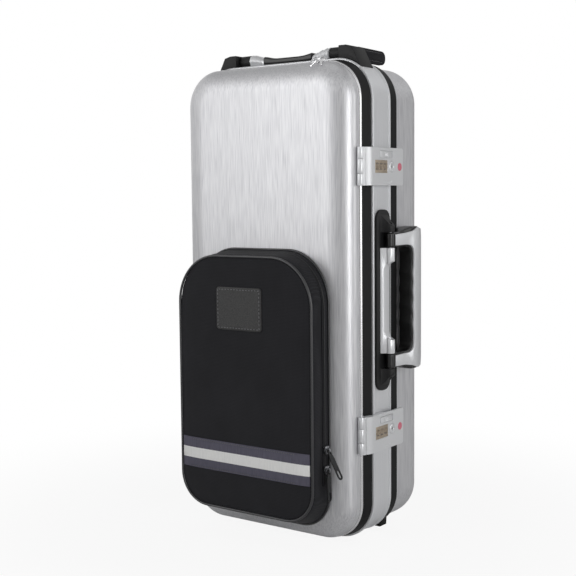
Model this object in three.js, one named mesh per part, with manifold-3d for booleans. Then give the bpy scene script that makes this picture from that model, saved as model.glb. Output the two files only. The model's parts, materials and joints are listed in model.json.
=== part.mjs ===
// Trumpet case with a metal frame, two latches and a zipped front pocket, standing on its end.
// Millimetres. X runs across the front, Y from front to back, Z up.
// The origin is the middle of the metal frame's lower face.

import * as THREE from "three";
import { mergeVertices } from "three/addons/utils/BufferGeometryUtils.js";
import Module from "manifold-3d";

const wasm = await Module();
wasm.setup();

// Whole case
const caseWidth = 250;
const caseHeight = 560;
const cornerRadius = 48;
const cornerSteps = 7; // facets in a case corner
const arcSteps = 5; // facets in a small arc
const softSteps = 2; // facets in a corner that fabric or a thin strap has
const roundSides = 16; // facets of a pin or a hole
const seatGap = 0.3; // between pieces that rest on each other
const runGap = 0.4; // round what turns or slides
const cutOver = 1; // how far a cut runs past what it cuts
const weldTolerance = 0.0001;

// Metal frame of the base, which closes against the lid at its front edge
const frameDepth = 39;
const frameWall = 3;
const lipHeight = 1.2;
const lipWidth = 3;
const lipBevel = 0.8;
const partingY = -frameDepth / 2;
const frameRearY = frameDepth / 2;
const sideX = caseWidth / 2;

// Shells, and the tongues of the frames that reach inside them
const shellInset = 4.5;
const shellWall = 3;
const tongueWall = 2.5;
const baseTongue = 24;
const lidTongue = 4.5;
const tongueOuter = shellInset + shellWall + seatGap;
const tongueInner = tongueOuter + tongueWall;

// Guide rim and seal in the parting line
const rimWall = 2;
const rimReach = 5;
const rimClear = 1.2;
const sealDepth = 2.7;
const rimOuter = tongueInner + rimClear;
const rimInner = rimOuter + rimWall;
const sealSeatY = partingY + sealDepth;

// Lid: black band, bright strip and dished front shell
const lidBandDepth = 17;
const lidStripDepth = 3;
const lidBandFrontInset = 3.4;
const lidBandRearInset = 0.8;
const lidStripInset = 3.2;
const bandBevel = 0.8;
const lidDepth = 45;
const frontEdgeRun = 32;
const frontStraight = 5;
const lidEdgeY = partingY - seatGap;
const stripRearY = partingY - lidBandDepth;
const stripFrontY = stripRearY - lidStripDepth;
const frontFaceY = partingY - lidDepth;
const frontRimY = stripFrontY - seatGap;

// Base: black band and deep rear shell
const rearBandDepth = 17;
const rearBandInset = 0.9;
const rearDepth = 83;
const rearEdgeRadius = 25;
const rearFaceY = frameRearY + rearDepth;
const rearRimY = frameRearY + seatGap;

// Padded linings
const linerGap = 0.3;
const baseLinerFrontY = partingY - 3.5;
const baseLinerStraightY = 80;
const lidLinerWall = 5;
const lidLinerRearY = partingY - 6.5;

// Wells in the base lining, from the mouthpiece end down to the bell
const bellWidth = 132;
const bellNeckWidth = 62;
const bellX = -38;
const bellFloorZ = 26;
const bellStraight = 36;
const bellTaper = 120;
const bellDepth = 110;
const bodyWidth = 104;
const bodyX = -20;
const bodyLowZ = 150;
const bodyTopEnd = 55;
const bodyDepth = 78;
const valveReach = 64;
const valveLowZ = 235;
const valveHighZ = 325;
const wellX = 73;
const wellWidth = 50;
const wellLowZ = 40;
const wellHighZ = 215;
const wellDepth = 85;
const trayLength = 160;
const trayDepth = 60;
const bodyHighZ = caseHeight - bodyTopEnd;
const trayLowZ = bodyHighZ - trayLength;

// Hinges on the left side
const hingeHeight = 50;
const hingeEnd = 112;
const knuckleRadius = 3.2;
const knuckleHalf = 8.7;
const hingePinRadius = 1.25;
const leafWall = 1.6;
const leafDepth = 26;
const hingeX = -(sideX + lipHeight + runGap + knuckleRadius);
const hingeY = partingY;
const hingeHighZ = caseHeight - hingeEnd;

// Feet: on the rear shell's lower end and along its hinge side
const footWidth = 13;
const footDepth = 15;
const footY = 46;
const footEnd = 31.5;
const footX = sideX - footEnd;
const footTaper = 1.2;
const sideFootEnd = 93.5;
const sideFootReach = 1;
const sideFootX = hingeX - knuckleRadius - sideFootReach;

// Latches on the right side
const latchHeight = 43;
const latchClear = 26.5; // from a latch to the side handle's plate
const latchShift = 1;
const latchStand = 8;
const latchRearY = 36;
const latchSkin = 1.6;
const latchBevel = 1.2;
const noseStartY = -30.5;
const noseRise = 11.5;
const noseLength = 17.3;
const noseSweep = 42; // degrees of the nose's elliptical curve
const webSweep = 60; // degrees of the knuckle that the cover's web takes up
const solidFrontY = -27.2;
const latchPinRadius = 1.6;
const latchKnuckleRadius = 4.2;
const latchKnuckleHalf = 8;
const hingeBlockRise = 3.2;
const hingeBlockFrontRise = 5.2;
const latchX = sideX + latchStand;
const latchUnder = sideX + lipHeight + runGap;
const latchHingeX = sideX - shellInset + seatGap + latchKnuckleRadius;
const latchHingeY = -43.9;

// Number wheels, key plug and release slider of a latch
const dialRadius = 3.2;
const dialWidth = 5.6;
const dialCount = 3;
const dialBar = 2.4; // bar of the cover between two wheels
const dialSides = 20;
const dialKnurl = 0.3;
const dialBore = 1.7;
const dialShaftRadius = 1.3;
const dialMidY = -12.3;
const dialProud = 0.2;
const windowHalfZ = 7.5;
const windowMargin = 1.8;
const windowRecess = 0.8;
const keyY = 10.4;
const keyRadius = 6;
const keySlotWidth = 1.2;
const keySlotLength = 5.6;
const keySlotDepth = 2;
const spotY = 28.2;
const spotRadius = 4.6;
const spotRecess = 0.5;
const tabFrontY = -15.5;
const tabRearY = 9.5;
const tabLowZ = 10.2;
const tabHighZ = 17.4;
const tabThickness = 1.6;
const boltTravel = 2.5;
const boltThickness = 1.5;
const boltFrontY = -2;
const boltTipY = 11;
const boltLowZ = 10.8;
const boltHighZ = 15.6;
const stemDepth = 6;
const keeperPostY = 13.9;
const keeperPostDepth = 2.2;
const keeperFoot = 1;
const keeperLip = 0.8;
const keeperClear = 0.8; // between the keeper and the cover over it
const keeperEndClear = 1.5;
const channelLowZ = 8.1;
const channelRoof = 1.4;
const dialSlot = dialWidth + 2 * seatGap;
const dialPitch = dialSlot + dialBar;
const dialSlotHalfZ = dialRadius + runGap;
const dialRowHalf = dialPitch + dialSlot / 2;
const dialX = latchX + dialProud - dialRadius;
const dialRow = Array.from(
  { length: dialCount }, (_, i) => dialMidY + (i - (dialCount - 1) / 2) * dialPitch);
const channelTopX = latchX - tabThickness + seatGap - channelRoof;

// Side handle
const handleRise = 2;
const handleZ = caseHeight / 2 + handleRise;
const plateHalf = 105;
const plateHalfY = 14.8;
const plateMidY = -1;
const plateWall = 3.3;
const plateCorner = 12;
const pivotStand = 12;
const lugRadius = 5.2;
const lugHalfY = 8;
const saddleHalfY = 9;
const saddleWall = 2.9;
const saddleKnuckle = 12;
const saddleScoop = 14;
const plateEnd = 15;
const lugLength = 11;
const lugSlope = 9;
const armWidth = 17.2;
const armFront = 6.1;
const armBack = 5;
const handlePinRadius = 1.7;
const gripInner = 41;
const gripOuter = 64;
const gripFront = 9.8;
const gripBack = 10.5;
const gripRound = 6;
const gripCrown = 2;
const gripBump = 1.5;
const gripBumps = 4;
const gripWaveShare = 0.78;
const gripRim = 1.4;
const swellStart = 26;
const swellEnd = 40;
const cornerInner = 10;
const earReach = 6.4;
const earStart = 18;
const facingWall = 2.4;
const facingMargin = 2.4;
const facingStart = 2.2;
const facingEnd = 4;
const handleAngle = 93; // degrees that the handle is swung back from straight out
const lugHigh = plateHalf - plateEnd;
const lugLow = lugHigh - lugLength;
const armHigh = lugLow - runGap;
const armLow = armHigh - armWidth;
const saddleReach = armLow - runGap;
const earZ = armHigh + earReach;
const latchSpread = plateHalf + latchClear + latchHeight / 2;
const latchLowZ = handleZ + latchShift - latchSpread;
const latchHighZ = handleZ + latchShift + latchSpread;
const pivotX = sideX + pivotStand;

// Handle at the top end
const bracketSetback = 18;
const bracketLength = 31.2;
const bracketHalfY = 14;
const bracketRise = 16.5;
const bracketTop = 10;
const bracketNose = 18;
const bracketChamfer = 2;
const barrelLength = 17.8;
const barrelRadius = 7.6;
const barrelRise = 9;
const barrelCrown = 0.8;
const tenonReach = 5;
const tenonHalfY = 4;
const tenonLow = 3;
const tenonHigh = 7.4;
const handleLift = 7;
const capLength = 22;
const capHalfY = 10;
const capFoot = 1.2;
const gripHalfY = 11;
const gripThin = 4;
const gripThick = 8;
const gripClear = 4.8;
const bracketOuter = sideX - bracketSetback;
const bracketInner = bracketOuter - bracketLength;
const barrelInner = bracketInner - barrelLength;
const capInner = barrelInner - capLength;

// Padded strap end behind the right bracket
const strapMargin = 2.7;
const strapWall = 8;
const strapLength = 61;
const strapHeight = 15.5;
const strapLift = 1.6;
const strapDroop = 1.4;

// Pocket on the lid
const pocketBaseHalf = 95;
const pocketHalf = 97;
const pocketBaseLowZ = 22;
const pocketBaseHighZ = 341;
const pocketLowZ = 34;
const pocketHighZ = 335;
const pocketLowRadius = 38;
const pocketHighRadius = 65;
const pocketDepth = 36.7;
const pocketCrown = 3.3;
const pipingRadius = 2;
const zipSetback = 13.2;
const zipWidth = 6;
const zipRise = 1.5;
const zipLowZ = 76;
const patchLeft = -36;
const patchRight = 30;
const patchLowZ = 249;
const patchHighZ = 299;
const patchWall = 1;
const tapeLowZ = 79.3;
const tapeHighZ = 115.5;
const tapeWall = 0.7;

// Zip sliders and their pulls
const sliderHalfY = 3.6;
const sliderHeight = 9;
const sliderRise = 3;
const sliderHighZ = 117;
const sliderLowZ = 94;
const loopRadius = 2.9;
const loopBore = 1.4;
const loopWall = 1.8;
const pullLength = 36;
const pullWidth = 8;
const pullNeck = 5.6;
const pullWall = 1.4;
const pullBar = 1.4;
const pullEye = 5.4;
const pullSwing = 29; // degrees that the upper pull stands off at rest
const restPullSwing = 2;

// Finishes
const brushedShell = new THREE.MeshStandardMaterial({ color: "#cfd0d1", metalness: 0.6, roughness: 0.4 });
const satinMetal = new THREE.MeshStandardMaterial({ color: "#c4c4c6", metalness: 0.9, roughness: 0.35 });
const brightMetal = new THREE.MeshStandardMaterial({ color: "#e6e6e8", metalness: 0.9, roughness: 0.2 });
const castMetal = new THREE.MeshStandardMaterial({ color: "#b8b9bb", metalness: 0.8, roughness: 0.38 });
const steel = new THREE.MeshStandardMaterial({ color: "#8e8f92", metalness: 0.9, roughness: 0.4 });
const brass = new THREE.MeshStandardMaterial({ color: "#a89a88", metalness: 0.6, roughness: 0.45 });
const blackPlastic = new THREE.MeshStandardMaterial({ color: "#202022", metalness: 0, roughness: 0.45 });
const blackRubber = new THREE.MeshStandardMaterial({ color: "#1c1c1d", metalness: 0, roughness: 0.75 });
const plush = new THREE.MeshStandardMaterial({ color: "#1d1f26", metalness: 0, roughness: 0.95 });
const bagCloth = new THREE.MeshStandardMaterial({ color: "#2c2c2e", metalness: 0, roughness: 0.8 });
const patchHide = new THREE.MeshStandardMaterial({ color: "#474747", metalness: 0, roughness: 0.6 });
const tapeCloth = new THREE.MeshStandardMaterial({ color: "#4a4854", metalness: 0, roughness: 0.55 });

// Solids: a closed mesh made ready for joining and cutting, faces outwards
function solidOf(geometry) {
  const bare = geometry.clone();
  bare.deleteAttribute("normal");
  bare.deleteAttribute("uv");
  const merged = mergeVertices(bare, weldTolerance);
  const points = merged.attributes.position.array;
  const triVerts = Uint32Array.from(merged.index.array);
  if (signedVolume(points, triVerts) < 0) triVerts.reverse();
  const mesh = new wasm.Mesh({ numProp: 3, vertProperties: Float32Array.from(points), triVerts });
  return new wasm.Manifold(mesh);
}

function signedVolume(points, triangles) {
  const corner = (i) => new THREE.Vector3().fromArray(points, triangles[i] * 3);
  let volume = 0;
  for (let i = 0; i < triangles.length; i += 3) {
    volume += corner(i).dot(corner(i + 1).cross(corner(i + 2)));
  }
  return volume;
}

function geometryOf(solid) {
  const mesh = solid.getMesh();
  const geometry = new THREE.BufferGeometry();
  geometry.setAttribute("position", new THREE.BufferAttribute(Float32Array.from(mesh.vertProperties), 3));
  geometry.setIndex(Array.from(mesh.triVerts));
  geometry.computeVertexNormals();
  return geometry;
}

function joined(...solids) {
  return solids.reduce((whole, next) => whole.add(next));
}

function cut(whole, ...tools) {
  return tools.reduce((rest, tool) => rest.subtract(tool), whole);
}

// Where an outline's two coordinates and its depth go, for a prism along each axis
const prismFrames = {
  x: new THREE.Matrix4().set(0, 0, 1, 0, 1, 0, 0, 0, 0, 1, 0, 0, 0, 0, 0, 1),
  y: new THREE.Matrix4().set(1, 0, 0, 0, 0, 0, 1, 0, 0, 1, 0, 0, 0, 0, 0, 1),
  z: new THREE.Matrix4(),
};

function prism(axis, outline, from, to, holes = []) {
  const shape = new THREE.Shape(outline.map(([a, b]) => new THREE.Vector2(a, b)));
  shape.holes = holes.map((hole) => new THREE.Path(hole.map(([a, b]) => new THREE.Vector2(a, b))));
  const geometry = new THREE.ExtrudeGeometry(shape, { depth: to - from, bevelEnabled: false });
  geometry.translate(0, 0, from);
  return solidOf(geometry.applyMatrix4(prismFrames[axis]));
}

function block(x0, x1, y0, y1, z0, z1) {
  const geometry = new THREE.BoxGeometry(x1 - x0, y1 - y0, z1 - z0);
  return solidOf(geometry.translate((x0 + x1) / 2, (y0 + y1) / 2, (z0 + z1) / 2));
}

// A round bar from one point to another
function rod(radius, from, to, sides = roundSides) {
  const start = new THREE.Vector3(...from);
  const along = new THREE.Vector3(...to).sub(start);
  const geometry = new THREE.CylinderGeometry(radius, radius, along.length(), sides);
  const turn = new THREE.Quaternion().setFromUnitVectors(new THREE.Vector3(0, 1, 0), along.clone().normalize());
  geometry.applyQuaternion(turn);
  return solidOf(geometry.translate(...start.addScaledVector(along, 1 / 2).toArray()));
}

function arc(centreA, centreB, radius, fromDegrees, toDegrees, steps = arcSteps) {
  return Array.from({ length: steps + 1 }, (_, i) => {
    const angle = THREE.MathUtils.degToRad(fromDegrees + ((toDegrees - fromDegrees) * i) / steps);
    return [centreA + radius * Math.cos(angle), centreB + radius * Math.sin(angle)];
  });
}

function roundedRectangle(a0, a1, b0, b1, lowRadius, highRadius, steps) {
  return [
    ...arc(a1 - lowRadius, b0 + lowRadius, lowRadius, -90, 0, steps),
    ...arc(a1 - highRadius, b1 - highRadius, highRadius, 0, 90, steps),
    ...arc(a0 + highRadius, b1 - highRadius, highRadius, 90, 180, steps),
    ...arc(a0 + lowRadius, b0 + lowRadius, lowRadius, 180, 270, steps),
  ];
}

// A skin over loops of equal length: closed on itself as a ring, or with flat ends
function loft(loops, isRing) {
  const count = loops[0].length;
  const triangles = [];
  const spans = isRing ? loops.length : loops.length - 1;
  for (let i = 0; i < spans; i += 1) {
    const near = i * count;
    const far = ((i + 1) % loops.length) * count;
    for (let j = 0; j < count; j += 1) {
      const next = (j + 1) % count;
      triangles.push(near + j, near + next, far + next, near + j, far + next, far + j);
    }
  }
  if (!isRing) {
    const last = (loops.length - 1) * count;
    for (let j = 1; j < count - 1; j += 1) {
      triangles.push(0, j + 1, j, last, last + j, last + j + 1);
    }
  }
  const geometry = new THREE.BufferGeometry();
  geometry.setAttribute("position", new THREE.Float32BufferAttribute(loops.flat(2), 3));
  geometry.setIndex(triangles);
  return solidOf(geometry);
}

// The case's outline, grown by an offset, at a place along Y
function caseLoop([offset, y]) {
  const radius = cornerRadius + offset;
  const outline = roundedRectangle(
    -sideX - offset, sideX + offset, -offset, caseHeight + offset, radius, radius, cornerSteps);
  return outline.map(([x, z]) => [x, y, z]);
}

function caseRing(section) {
  return loft(section.map(caseLoop), true);
}

// The curve from a side wall to a face, as offsets and places along Y
function roundedEdge(offset, fromY, toY, run, steps = arcSteps) {
  return arc(0, 0, 1, 0, 90, steps).map(([across, along]) => [
    offset - run * (1 - across),
    fromY + (toY - fromY) * along,
  ]);
}

function baseFrame() {
  return caseRing([
    [lipHeight - lipBevel, partingY],
    [lipHeight, partingY + lipBevel],
    [lipHeight, partingY + lipWidth - lipBevel],
    [0, partingY + lipWidth],
    [0, frameRearY - lipWidth],
    [lipHeight, frameRearY - lipWidth + lipBevel],
    [lipHeight, frameRearY - lipBevel],
    [lipHeight - lipBevel, frameRearY],
    [-tongueOuter, frameRearY],
    [-tongueOuter, frameRearY + baseTongue],
    [-tongueInner, frameRearY + baseTongue],
    [-tongueInner, frameRearY - frameWall],
    [-frameWall, frameRearY - frameWall],
    [-frameWall, sealSeatY + frameWall],
    [-rimInner, sealSeatY + frameWall],
    [-rimInner, partingY - rimReach],
    [-rimOuter, partingY - rimReach],
    [-rimOuter, sealSeatY],
    [-frameWall, sealSeatY],
    [-frameWall, partingY],
  ]);
}

function seal() {
  const frontY = partingY;
  const backY = sealSeatY - seatGap;
  return caseRing([
    [-frameWall - seatGap, backY],
    [-frameWall - seatGap, (frontY + backY) / 2],
    [-tongueOuter, frontY],
    [-rimOuter + seatGap, (frontY + backY) / 2],
    [-rimOuter + seatGap, backY],
  ]);
}

function rearBand() {
  const foot = -shellInset + seatGap;
  return caseRing([
    [foot, rearRimY],
    [-rearBandInset - bandBevel, rearRimY],
    [-rearBandInset, rearRimY + bandBevel],
    [-rearBandInset, rearRimY + rearBandDepth - bandBevel],
    [-rearBandInset - bandBevel, rearRimY + rearBandDepth],
    [foot, rearRimY + rearBandDepth],
  ]);
}

function lidBand() {
  const foot = -tongueOuter + seatGap;
  const frontY = stripRearY + seatGap;
  return caseRing([
    [foot, frontY],
    [-lidBandFrontInset, frontY],
    [-lidBandRearInset, lidEdgeY - bandBevel],
    [-lidBandRearInset - bandBevel, lidEdgeY],
    [foot, lidEdgeY],
  ]);
}

function lidFrame() {
  return caseRing([
    [-shellInset, stripFrontY],
    [-lidStripInset, stripRearY],
    [-tongueOuter, stripRearY],
    [-tongueOuter, lidEdgeY],
    [-tongueInner, lidEdgeY],
    [-tongueInner, stripFrontY - lidTongue],
    [-tongueOuter, stripFrontY - lidTongue],
    [-tongueOuter, stripFrontY],
  ]);
}

// A dished shell of even wall, from its rim to its face
function dish(offset, rimY, straightY, faceY, edgeRun, wall) {
  const innerFaceY = faceY - wall * Math.sign(faceY - rimY);
  const outer = [[offset, rimY], ...roundedEdge(offset, straightY, faceY, edgeRun)];
  const inner = [[offset - wall, rimY], ...roundedEdge(offset - wall, straightY, innerFaceY, edgeRun - wall)];
  return loft([...inner.reverse(), ...outer].map(caseLoop), false);
}

function frontShell() {
  return dish(-shellInset, frontRimY, frontRimY - frontStraight, frontFaceY, frontEdgeRun, shellWall);
}

function rearShell() {
  return dish(-shellInset, rearRimY, rearFaceY - rearEdgeRadius, rearFaceY, rearEdgeRadius, shellWall);
}

function lidLiner() {
  const offset = -tongueInner - linerGap;
  const faceY = frontFaceY + shellWall + linerGap;
  const run = frontEdgeRun - shellWall - tongueWall - 2 * linerGap;
  return dish(offset, lidLinerRearY, frontRimY - frontStraight, faceY, run, lidLinerWall);
}

// The tapering bay for the bell
function bellOutline() {
  const neckZ = bellFloorZ + bellStraight + bellTaper;
  return [
    [bellX - bellWidth / 2, bellFloorZ],
    [bellX + bellWidth / 2, bellFloorZ],
    [bellX + bellWidth / 2, bellFloorZ + bellStraight],
    [bellX + bellNeckWidth / 2, neckZ],
    [bellX - bellNeckWidth / 2, neckZ],
    [bellX - bellWidth / 2, bellFloorZ + bellStraight],
  ];
}

function baseLiner() {
  const offset = -rimInner - linerGap;
  const faceY = rearFaceY - shellWall - linerGap;
  const edge = roundedEdge(offset, baseLinerStraightY, faceY, rearEdgeRadius - tongueWall);
  const foam = loft([[offset, baseLinerFrontY], ...edge].map(caseLoop), false);
  const frontY = baseLinerFrontY - cutOver;
  const bodyRight = bodyX + bodyWidth / 2;
  const wellLeft = wellX - wellWidth / 2;
  const wellRight = wellX + wellWidth / 2;
  return cut(
    foam,
    prism("y", bellOutline(), frontY, baseLinerFrontY + bellDepth),
    block(bodyX - bodyWidth / 2, bodyRight, frontY, baseLinerFrontY + bodyDepth, bodyLowZ, bodyHighZ),
    block(bodyX, bodyRight + valveReach, frontY, baseLinerFrontY + bodyDepth, valveLowZ, valveHighZ),
    block(wellLeft, wellRight, frontY, baseLinerFrontY + wellDepth, wellLowZ, wellHighZ),
    block(wellLeft, wellRight, frontY, baseLinerFrontY + trayDepth, trayLowZ, bodyHighZ),
  );
}

// Hinges: knuckles of the base leaf above and below the lid leaf's knuckle
function hingeBore() {
  const reach = hingeHeight / 2 + cutOver;
  return rod(hingePinRadius + seatGap, [hingeX, hingeY, -reach], [hingeX, hingeY, reach]);
}

function hingeBaseLeaf() {
  const half = hingeHeight / 2;
  const outerX = hingeX + leafWall;
  const padX = -sideX - seatGap;
  const stripX = -sideX - lipHeight - seatGap;
  const padY = partingY + lipWidth + seatGap;
  const pad = block(outerX, padX, padY, partingY + leafDepth + seatGap, -half, half);
  const ends = [[-half, -knuckleHalf - seatGap], [knuckleHalf + seatGap, half]].map(([low, high]) => joined(
    rod(knuckleRadius, [hingeX, hingeY, low], [hingeX, hingeY, high]),
    block(outerX, stripX, hingeY, padY + cutOver, low, high),
  ));
  return cut(joined(pad, ...ends), hingeBore());
}

// Leaf on the sloping black band, its arm reaching back to the knuckle
function hingeLidLeaf() {
  const half = hingeHeight / 2;
  const rearY = lidEdgeY - bandBevel;
  const surface = [
    [-sideX + lidBandRearInset - seatGap, rearY],
    [-sideX + lidStripInset - seatGap, stripRearY],
  ];
  const plate = prism("z", [...surface, ...surface.map(([x, y]) => [x - leafWall, y]).reverse()], -half, half);
  const arm = block(
    hingeX, -sideX + lidBandRearInset - seatGap, rearY - knuckleRadius, rearY, -knuckleHalf, knuckleHalf);
  const knuckle = rod(knuckleRadius, [hingeX, hingeY, -knuckleHalf], [hingeX, hingeY, knuckleHalf]);
  return cut(joined(plate, arm, knuckle), hingeBore());
}

function hingePin() {
  const half = hingeHeight / 2;
  return rod(hingePinRadius, [hingeX, hingeY, -half], [hingeX, hingeY, half]);
}

// The rear shell's outside, grown by the seating gap, which shapes what sits on it
function rearShellEnvelope() {
  const offset = -shellInset + seatGap;
  const edge = roundedEdge(offset, rearFaceY - rearEdgeRadius, rearFaceY, rearEdgeRadius);
  return loft([[offset, frameRearY], ...edge].map(caseLoop), false);
}

function footBlock(width, height) {
  const half = width / 2;
  const outline = [[-half + footTaper, 0], [half - footTaper, 0], [half, height], [-half, height]];
  const frontY = footY - footDepth / 2;
  return prism("y", outline, frontY, frontY + footDepth);
}

function endFoot(x) {
  const standing = footBlock(footWidth, cornerRadius / 2).translate([x, 0, -lipHeight]);
  return cut(standing, rearShellEnvelope());
}

function sideFoot(z) {
  const standing = footBlock(footWidth, cornerRadius / 2).rotate([0, 90, 0]).translate([sideFootX, 0, z]);
  return cut(standing, rearShellEnvelope());
}

// Latch cover: a flat plate with a curved nose that is hinged to the lid
function noseCurve(inset) {
  const rise = noseRise - inset;
  const length = noseLength - inset;
  return arc(0, 0, 1, 0, noseSweep).map(([across, along]) => [
    latchX - noseRise + rise * across,
    noseStartY - length * along,
  ]);
}

function latchPlate() {
  const half = latchHeight / 2;
  const outline = [
    [latchX - latchBevel, latchRearY],
    [latchX, latchRearY - latchBevel],
    ...noseCurve(0),
    ...noseCurve(latchSkin).reverse(),
    [latchX - latchSkin, solidFrontY],
    [latchUnder, solidFrontY],
    [latchUnder, latchRearY],
  ];
  const skinPoints = noseCurve(latchSkin / 2);
  const [webFront, webRear] = arc(latchHingeX, latchHingeY, latchKnuckleRadius, 0, webSweep, 1);
  const webOutline = [
    [latchHingeX, latchHingeY],
    webFront,
    skinPoints.at(-1),
    skinPoints[Math.ceil(skinPoints.length / 2)],
    webRear,
  ];
  const web = prism("z", webOutline, -latchKnuckleHalf, latchKnuckleHalf);
  const knuckle = latchRod(latchKnuckleRadius, -latchKnuckleHalf, latchKnuckleHalf);
  const bore = latchRod(latchPinRadius + seatGap, -half, half);
  return cut(joined(prism("z", outline, -half, half), web, knuckle), bore);
}

function latchRod(radius, low, high) {
  return rod(radius, [latchHingeX, latchHingeY, low], [latchHingeX, latchHingeY, high]);
}

function latchCover() {
  const half = latchHeight / 2;
  const windowHalf = dialRowHalf + windowMargin;
  const faceX = latchX + cutOver;
  const underX = latchUnder - cutOver;
  const tabSeatX = latchX - tabThickness + seatGap;
  const stemY = (boltFrontY + boltTipY - stemDepth) / 2;
  const cuts = [
    ...dialRow.map((y) => block(
      underX, faceX, y - dialSlot / 2, y + dialSlot / 2, -dialSlotHalfZ, dialSlotHalfZ)),
    block(
      latchX - windowRecess, faceX, dialMidY - windowHalf, dialMidY + windowHalf, -windowHalfZ, windowHalfZ),
    rod(keyRadius + seatGap, [underX, keyY, 0], [faceX, keyY, 0]),
    rod(spotRadius, [latchX - spotRecess, spotY, 0], [faceX, spotY, 0]),
    block(
      tabSeatX - seatGap, faceX, tabFrontY - runGap, tabRearY + boltTravel + runGap,
      tabLowZ - runGap, tabHighZ + runGap),
    block(underX, channelTopX, boltFrontY - runGap, latchRearY + cutOver, channelLowZ, half + cutOver),
    block(
      channelTopX - cutOver, faceX, stemY - runGap, stemY + stemDepth + boltTravel + runGap,
      boltLowZ - runGap, boltHighZ + runGap),
    block(
      underX, latchX - latchSkin, keyY + 2 * keyRadius, latchRearY - 2 * latchSkin,
      -half + latchSkin, channelLowZ),
  ];
  const shaftHalf = dialRowHalf + cutOver;
  const shaft = rod(dialShaftRadius, [dialX, dialMidY - shaftHalf, 0], [dialX, dialMidY + shaftHalf, 0]);
  return joined(cut(latchPlate(), ...cuts), shaft);
}

// Hinge block of a latch, on the lid's band, strip and shell, with a knuckle at each end
function latchHinge() {
  const half = latchHeight / 2;
  const innerX = sideX - shellInset + seatGap;
  const stripX = sideX - lidStripInset + seatGap;
  const rearY = solidFrontY - runGap;
  const bandShare = (stripRearY - rearY) / (stripRearY - lidEdgeY);
  const rearX = stripX + (lidStripInset - lidBandRearInset) * bandShare + seatGap;
  const outline = [
    [innerX, latchHingeY],
    [innerX, stripFrontY - runGap],
    [stripX, stripRearY],
    [rearX, rearY],
    [rearX + hingeBlockRise, rearY],
    [stripX + hingeBlockFrontRise, stripRearY],
    [latchHingeX, latchHingeY],
  ];
  const body = prism("z", outline, -half, half);
  const knuckles = latchRod(latchKnuckleRadius, -half, half);
  const room = latchKnuckleHalf + seatGap;
  const pocket = latchRod(latchKnuckleRadius + runGap, -room, room);
  const bore = latchRod(latchPinRadius + seatGap, -half - cutOver, half + cutOver);
  return cut(joined(body, knuckles), pocket, bore);
}

function latchPin() {
  return latchRod(latchPinRadius, -latchHeight / 2, latchHeight / 2);
}

// A knurled number wheel on the shaft along Y
function dial(midY) {
  const rim = arc(dialX, 0, dialRadius, 0, 360, dialSides).slice(1);
  const root = arc(dialX, 0, dialRadius - dialKnurl, 0, 360, dialSides).slice(1);
  const outline = rim.map((point, i) => (i % 2 ? point : root[i]));
  const bore = arc(dialX, 0, dialBore, 0, 360, roundSides / 2).slice(1);
  return prism("y", outline, midY - dialWidth / 2, midY + dialWidth / 2, [bore]);
}

function keyPlug() {
  const faceX = latchX + dialProud;
  const body = rod(keyRadius, [latchUnder + seatGap, keyY, 0], [faceX, keyY, 0]);
  const slotHalf = keySlotWidth / 2;
  const slotReach = keySlotLength / 2;
  return cut(body, block(
    faceX - keySlotDepth, faceX + cutOver, keyY - slotHalf, keyY + slotHalf, -slotReach, slotReach));
}

// Finger tab with its bolt underneath, which slides back under the keeper's lip
function latchSlider() {
  const boltTopX = channelTopX - keeperClear - keeperLip - runGap;
  const stemY = (boltFrontY + boltTipY - stemDepth) / 2;
  const tabX = latchX - tabThickness + seatGap;
  const tab = block(tabX, tabX + tabThickness, tabFrontY, tabRearY, tabLowZ, tabHighZ);
  const stem = block(
    boltTopX - boltThickness / 2, tabX + seatGap, stemY, stemY + stemDepth, boltLowZ, boltHighZ);
  const bolt = block(boltTopX - boltThickness, boltTopX, boltFrontY, boltTipY, boltLowZ, boltHighZ);
  return joined(tab, stem, bolt);
}

function keeper() {
  const lowZ = channelLowZ + keeperEndClear;
  const highZ = boltHighZ + keeperLip;
  const highX = channelTopX - keeperClear;
  const footX0 = sideX + seatGap;
  const postRearY = keeperPostY + keeperPostDepth;
  const foot = block(
    footX0, footX0 + keeperFoot, keeperPostY - stemDepth - keeperPostDepth, postRearY, lowZ, highZ);
  const post = block(footX0, highX, keeperPostY, postRearY, lowZ, highZ);
  const lip = block(highX - keeperLip, highX, boltTipY + runGap, keeperPostY + seatGap, lowZ, highZ);
  return joined(foot, post, lip);
}

// Side handle: the shape that knuckles share, seen from above
function knucklePlan(footX0, halfY) {
  const neck = Math.asin((halfY - lugRadius) / (pivotX - footX0)) * THREE.MathUtils.RAD2DEG;
  const quarter = 90;
  return [
    [footX0, halfY],
    [footX0, -halfY],
    ...arc(pivotX, 0, lugRadius, -quarter - neck, quarter + neck, 2 * arcSteps),
  ];
}

function handleBore() {
  const reach = lugHigh + lugSlope;
  return rod(handlePinRadius + seatGap, [pivotX, 0, -reach], [pivotX, 0, reach]);
}

function handlePlate() {
  const footX0 = sideX + seatGap;
  const faceX = footX0 + plateWall;
  const topX = pivotX + lugRadius;
  const slab = prism("x", roundedRectangle(
    plateMidY - plateHalfY, plateMidY + plateHalfY, -plateHalf, plateHalf, plateCorner, plateCorner, arcSteps),
  footX0, faceX);
  const side = [
    [footX0, lugLow],
    [topX, lugLow],
    [topX, lugHigh - lugSlope / 2],
    [pivotX, lugHigh],
    [faceX, lugHigh + lugSlope],
    [footX0, lugHigh + lugSlope],
  ];
  const sides = [side, side.map(([x, z]) => [x, -z])];
  const over = sides.map((outline) => prism("y", outline, -plateHalfY, plateHalfY));
  const plan = prism("z", knucklePlan(faceX - seatGap, lugHalfY), -plateHalf, plateHalf);
  const lugs = over.map((tool) => plan.intersect(tool));
  return cut(joined(slab, ...lugs), handleBore());
}

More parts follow.
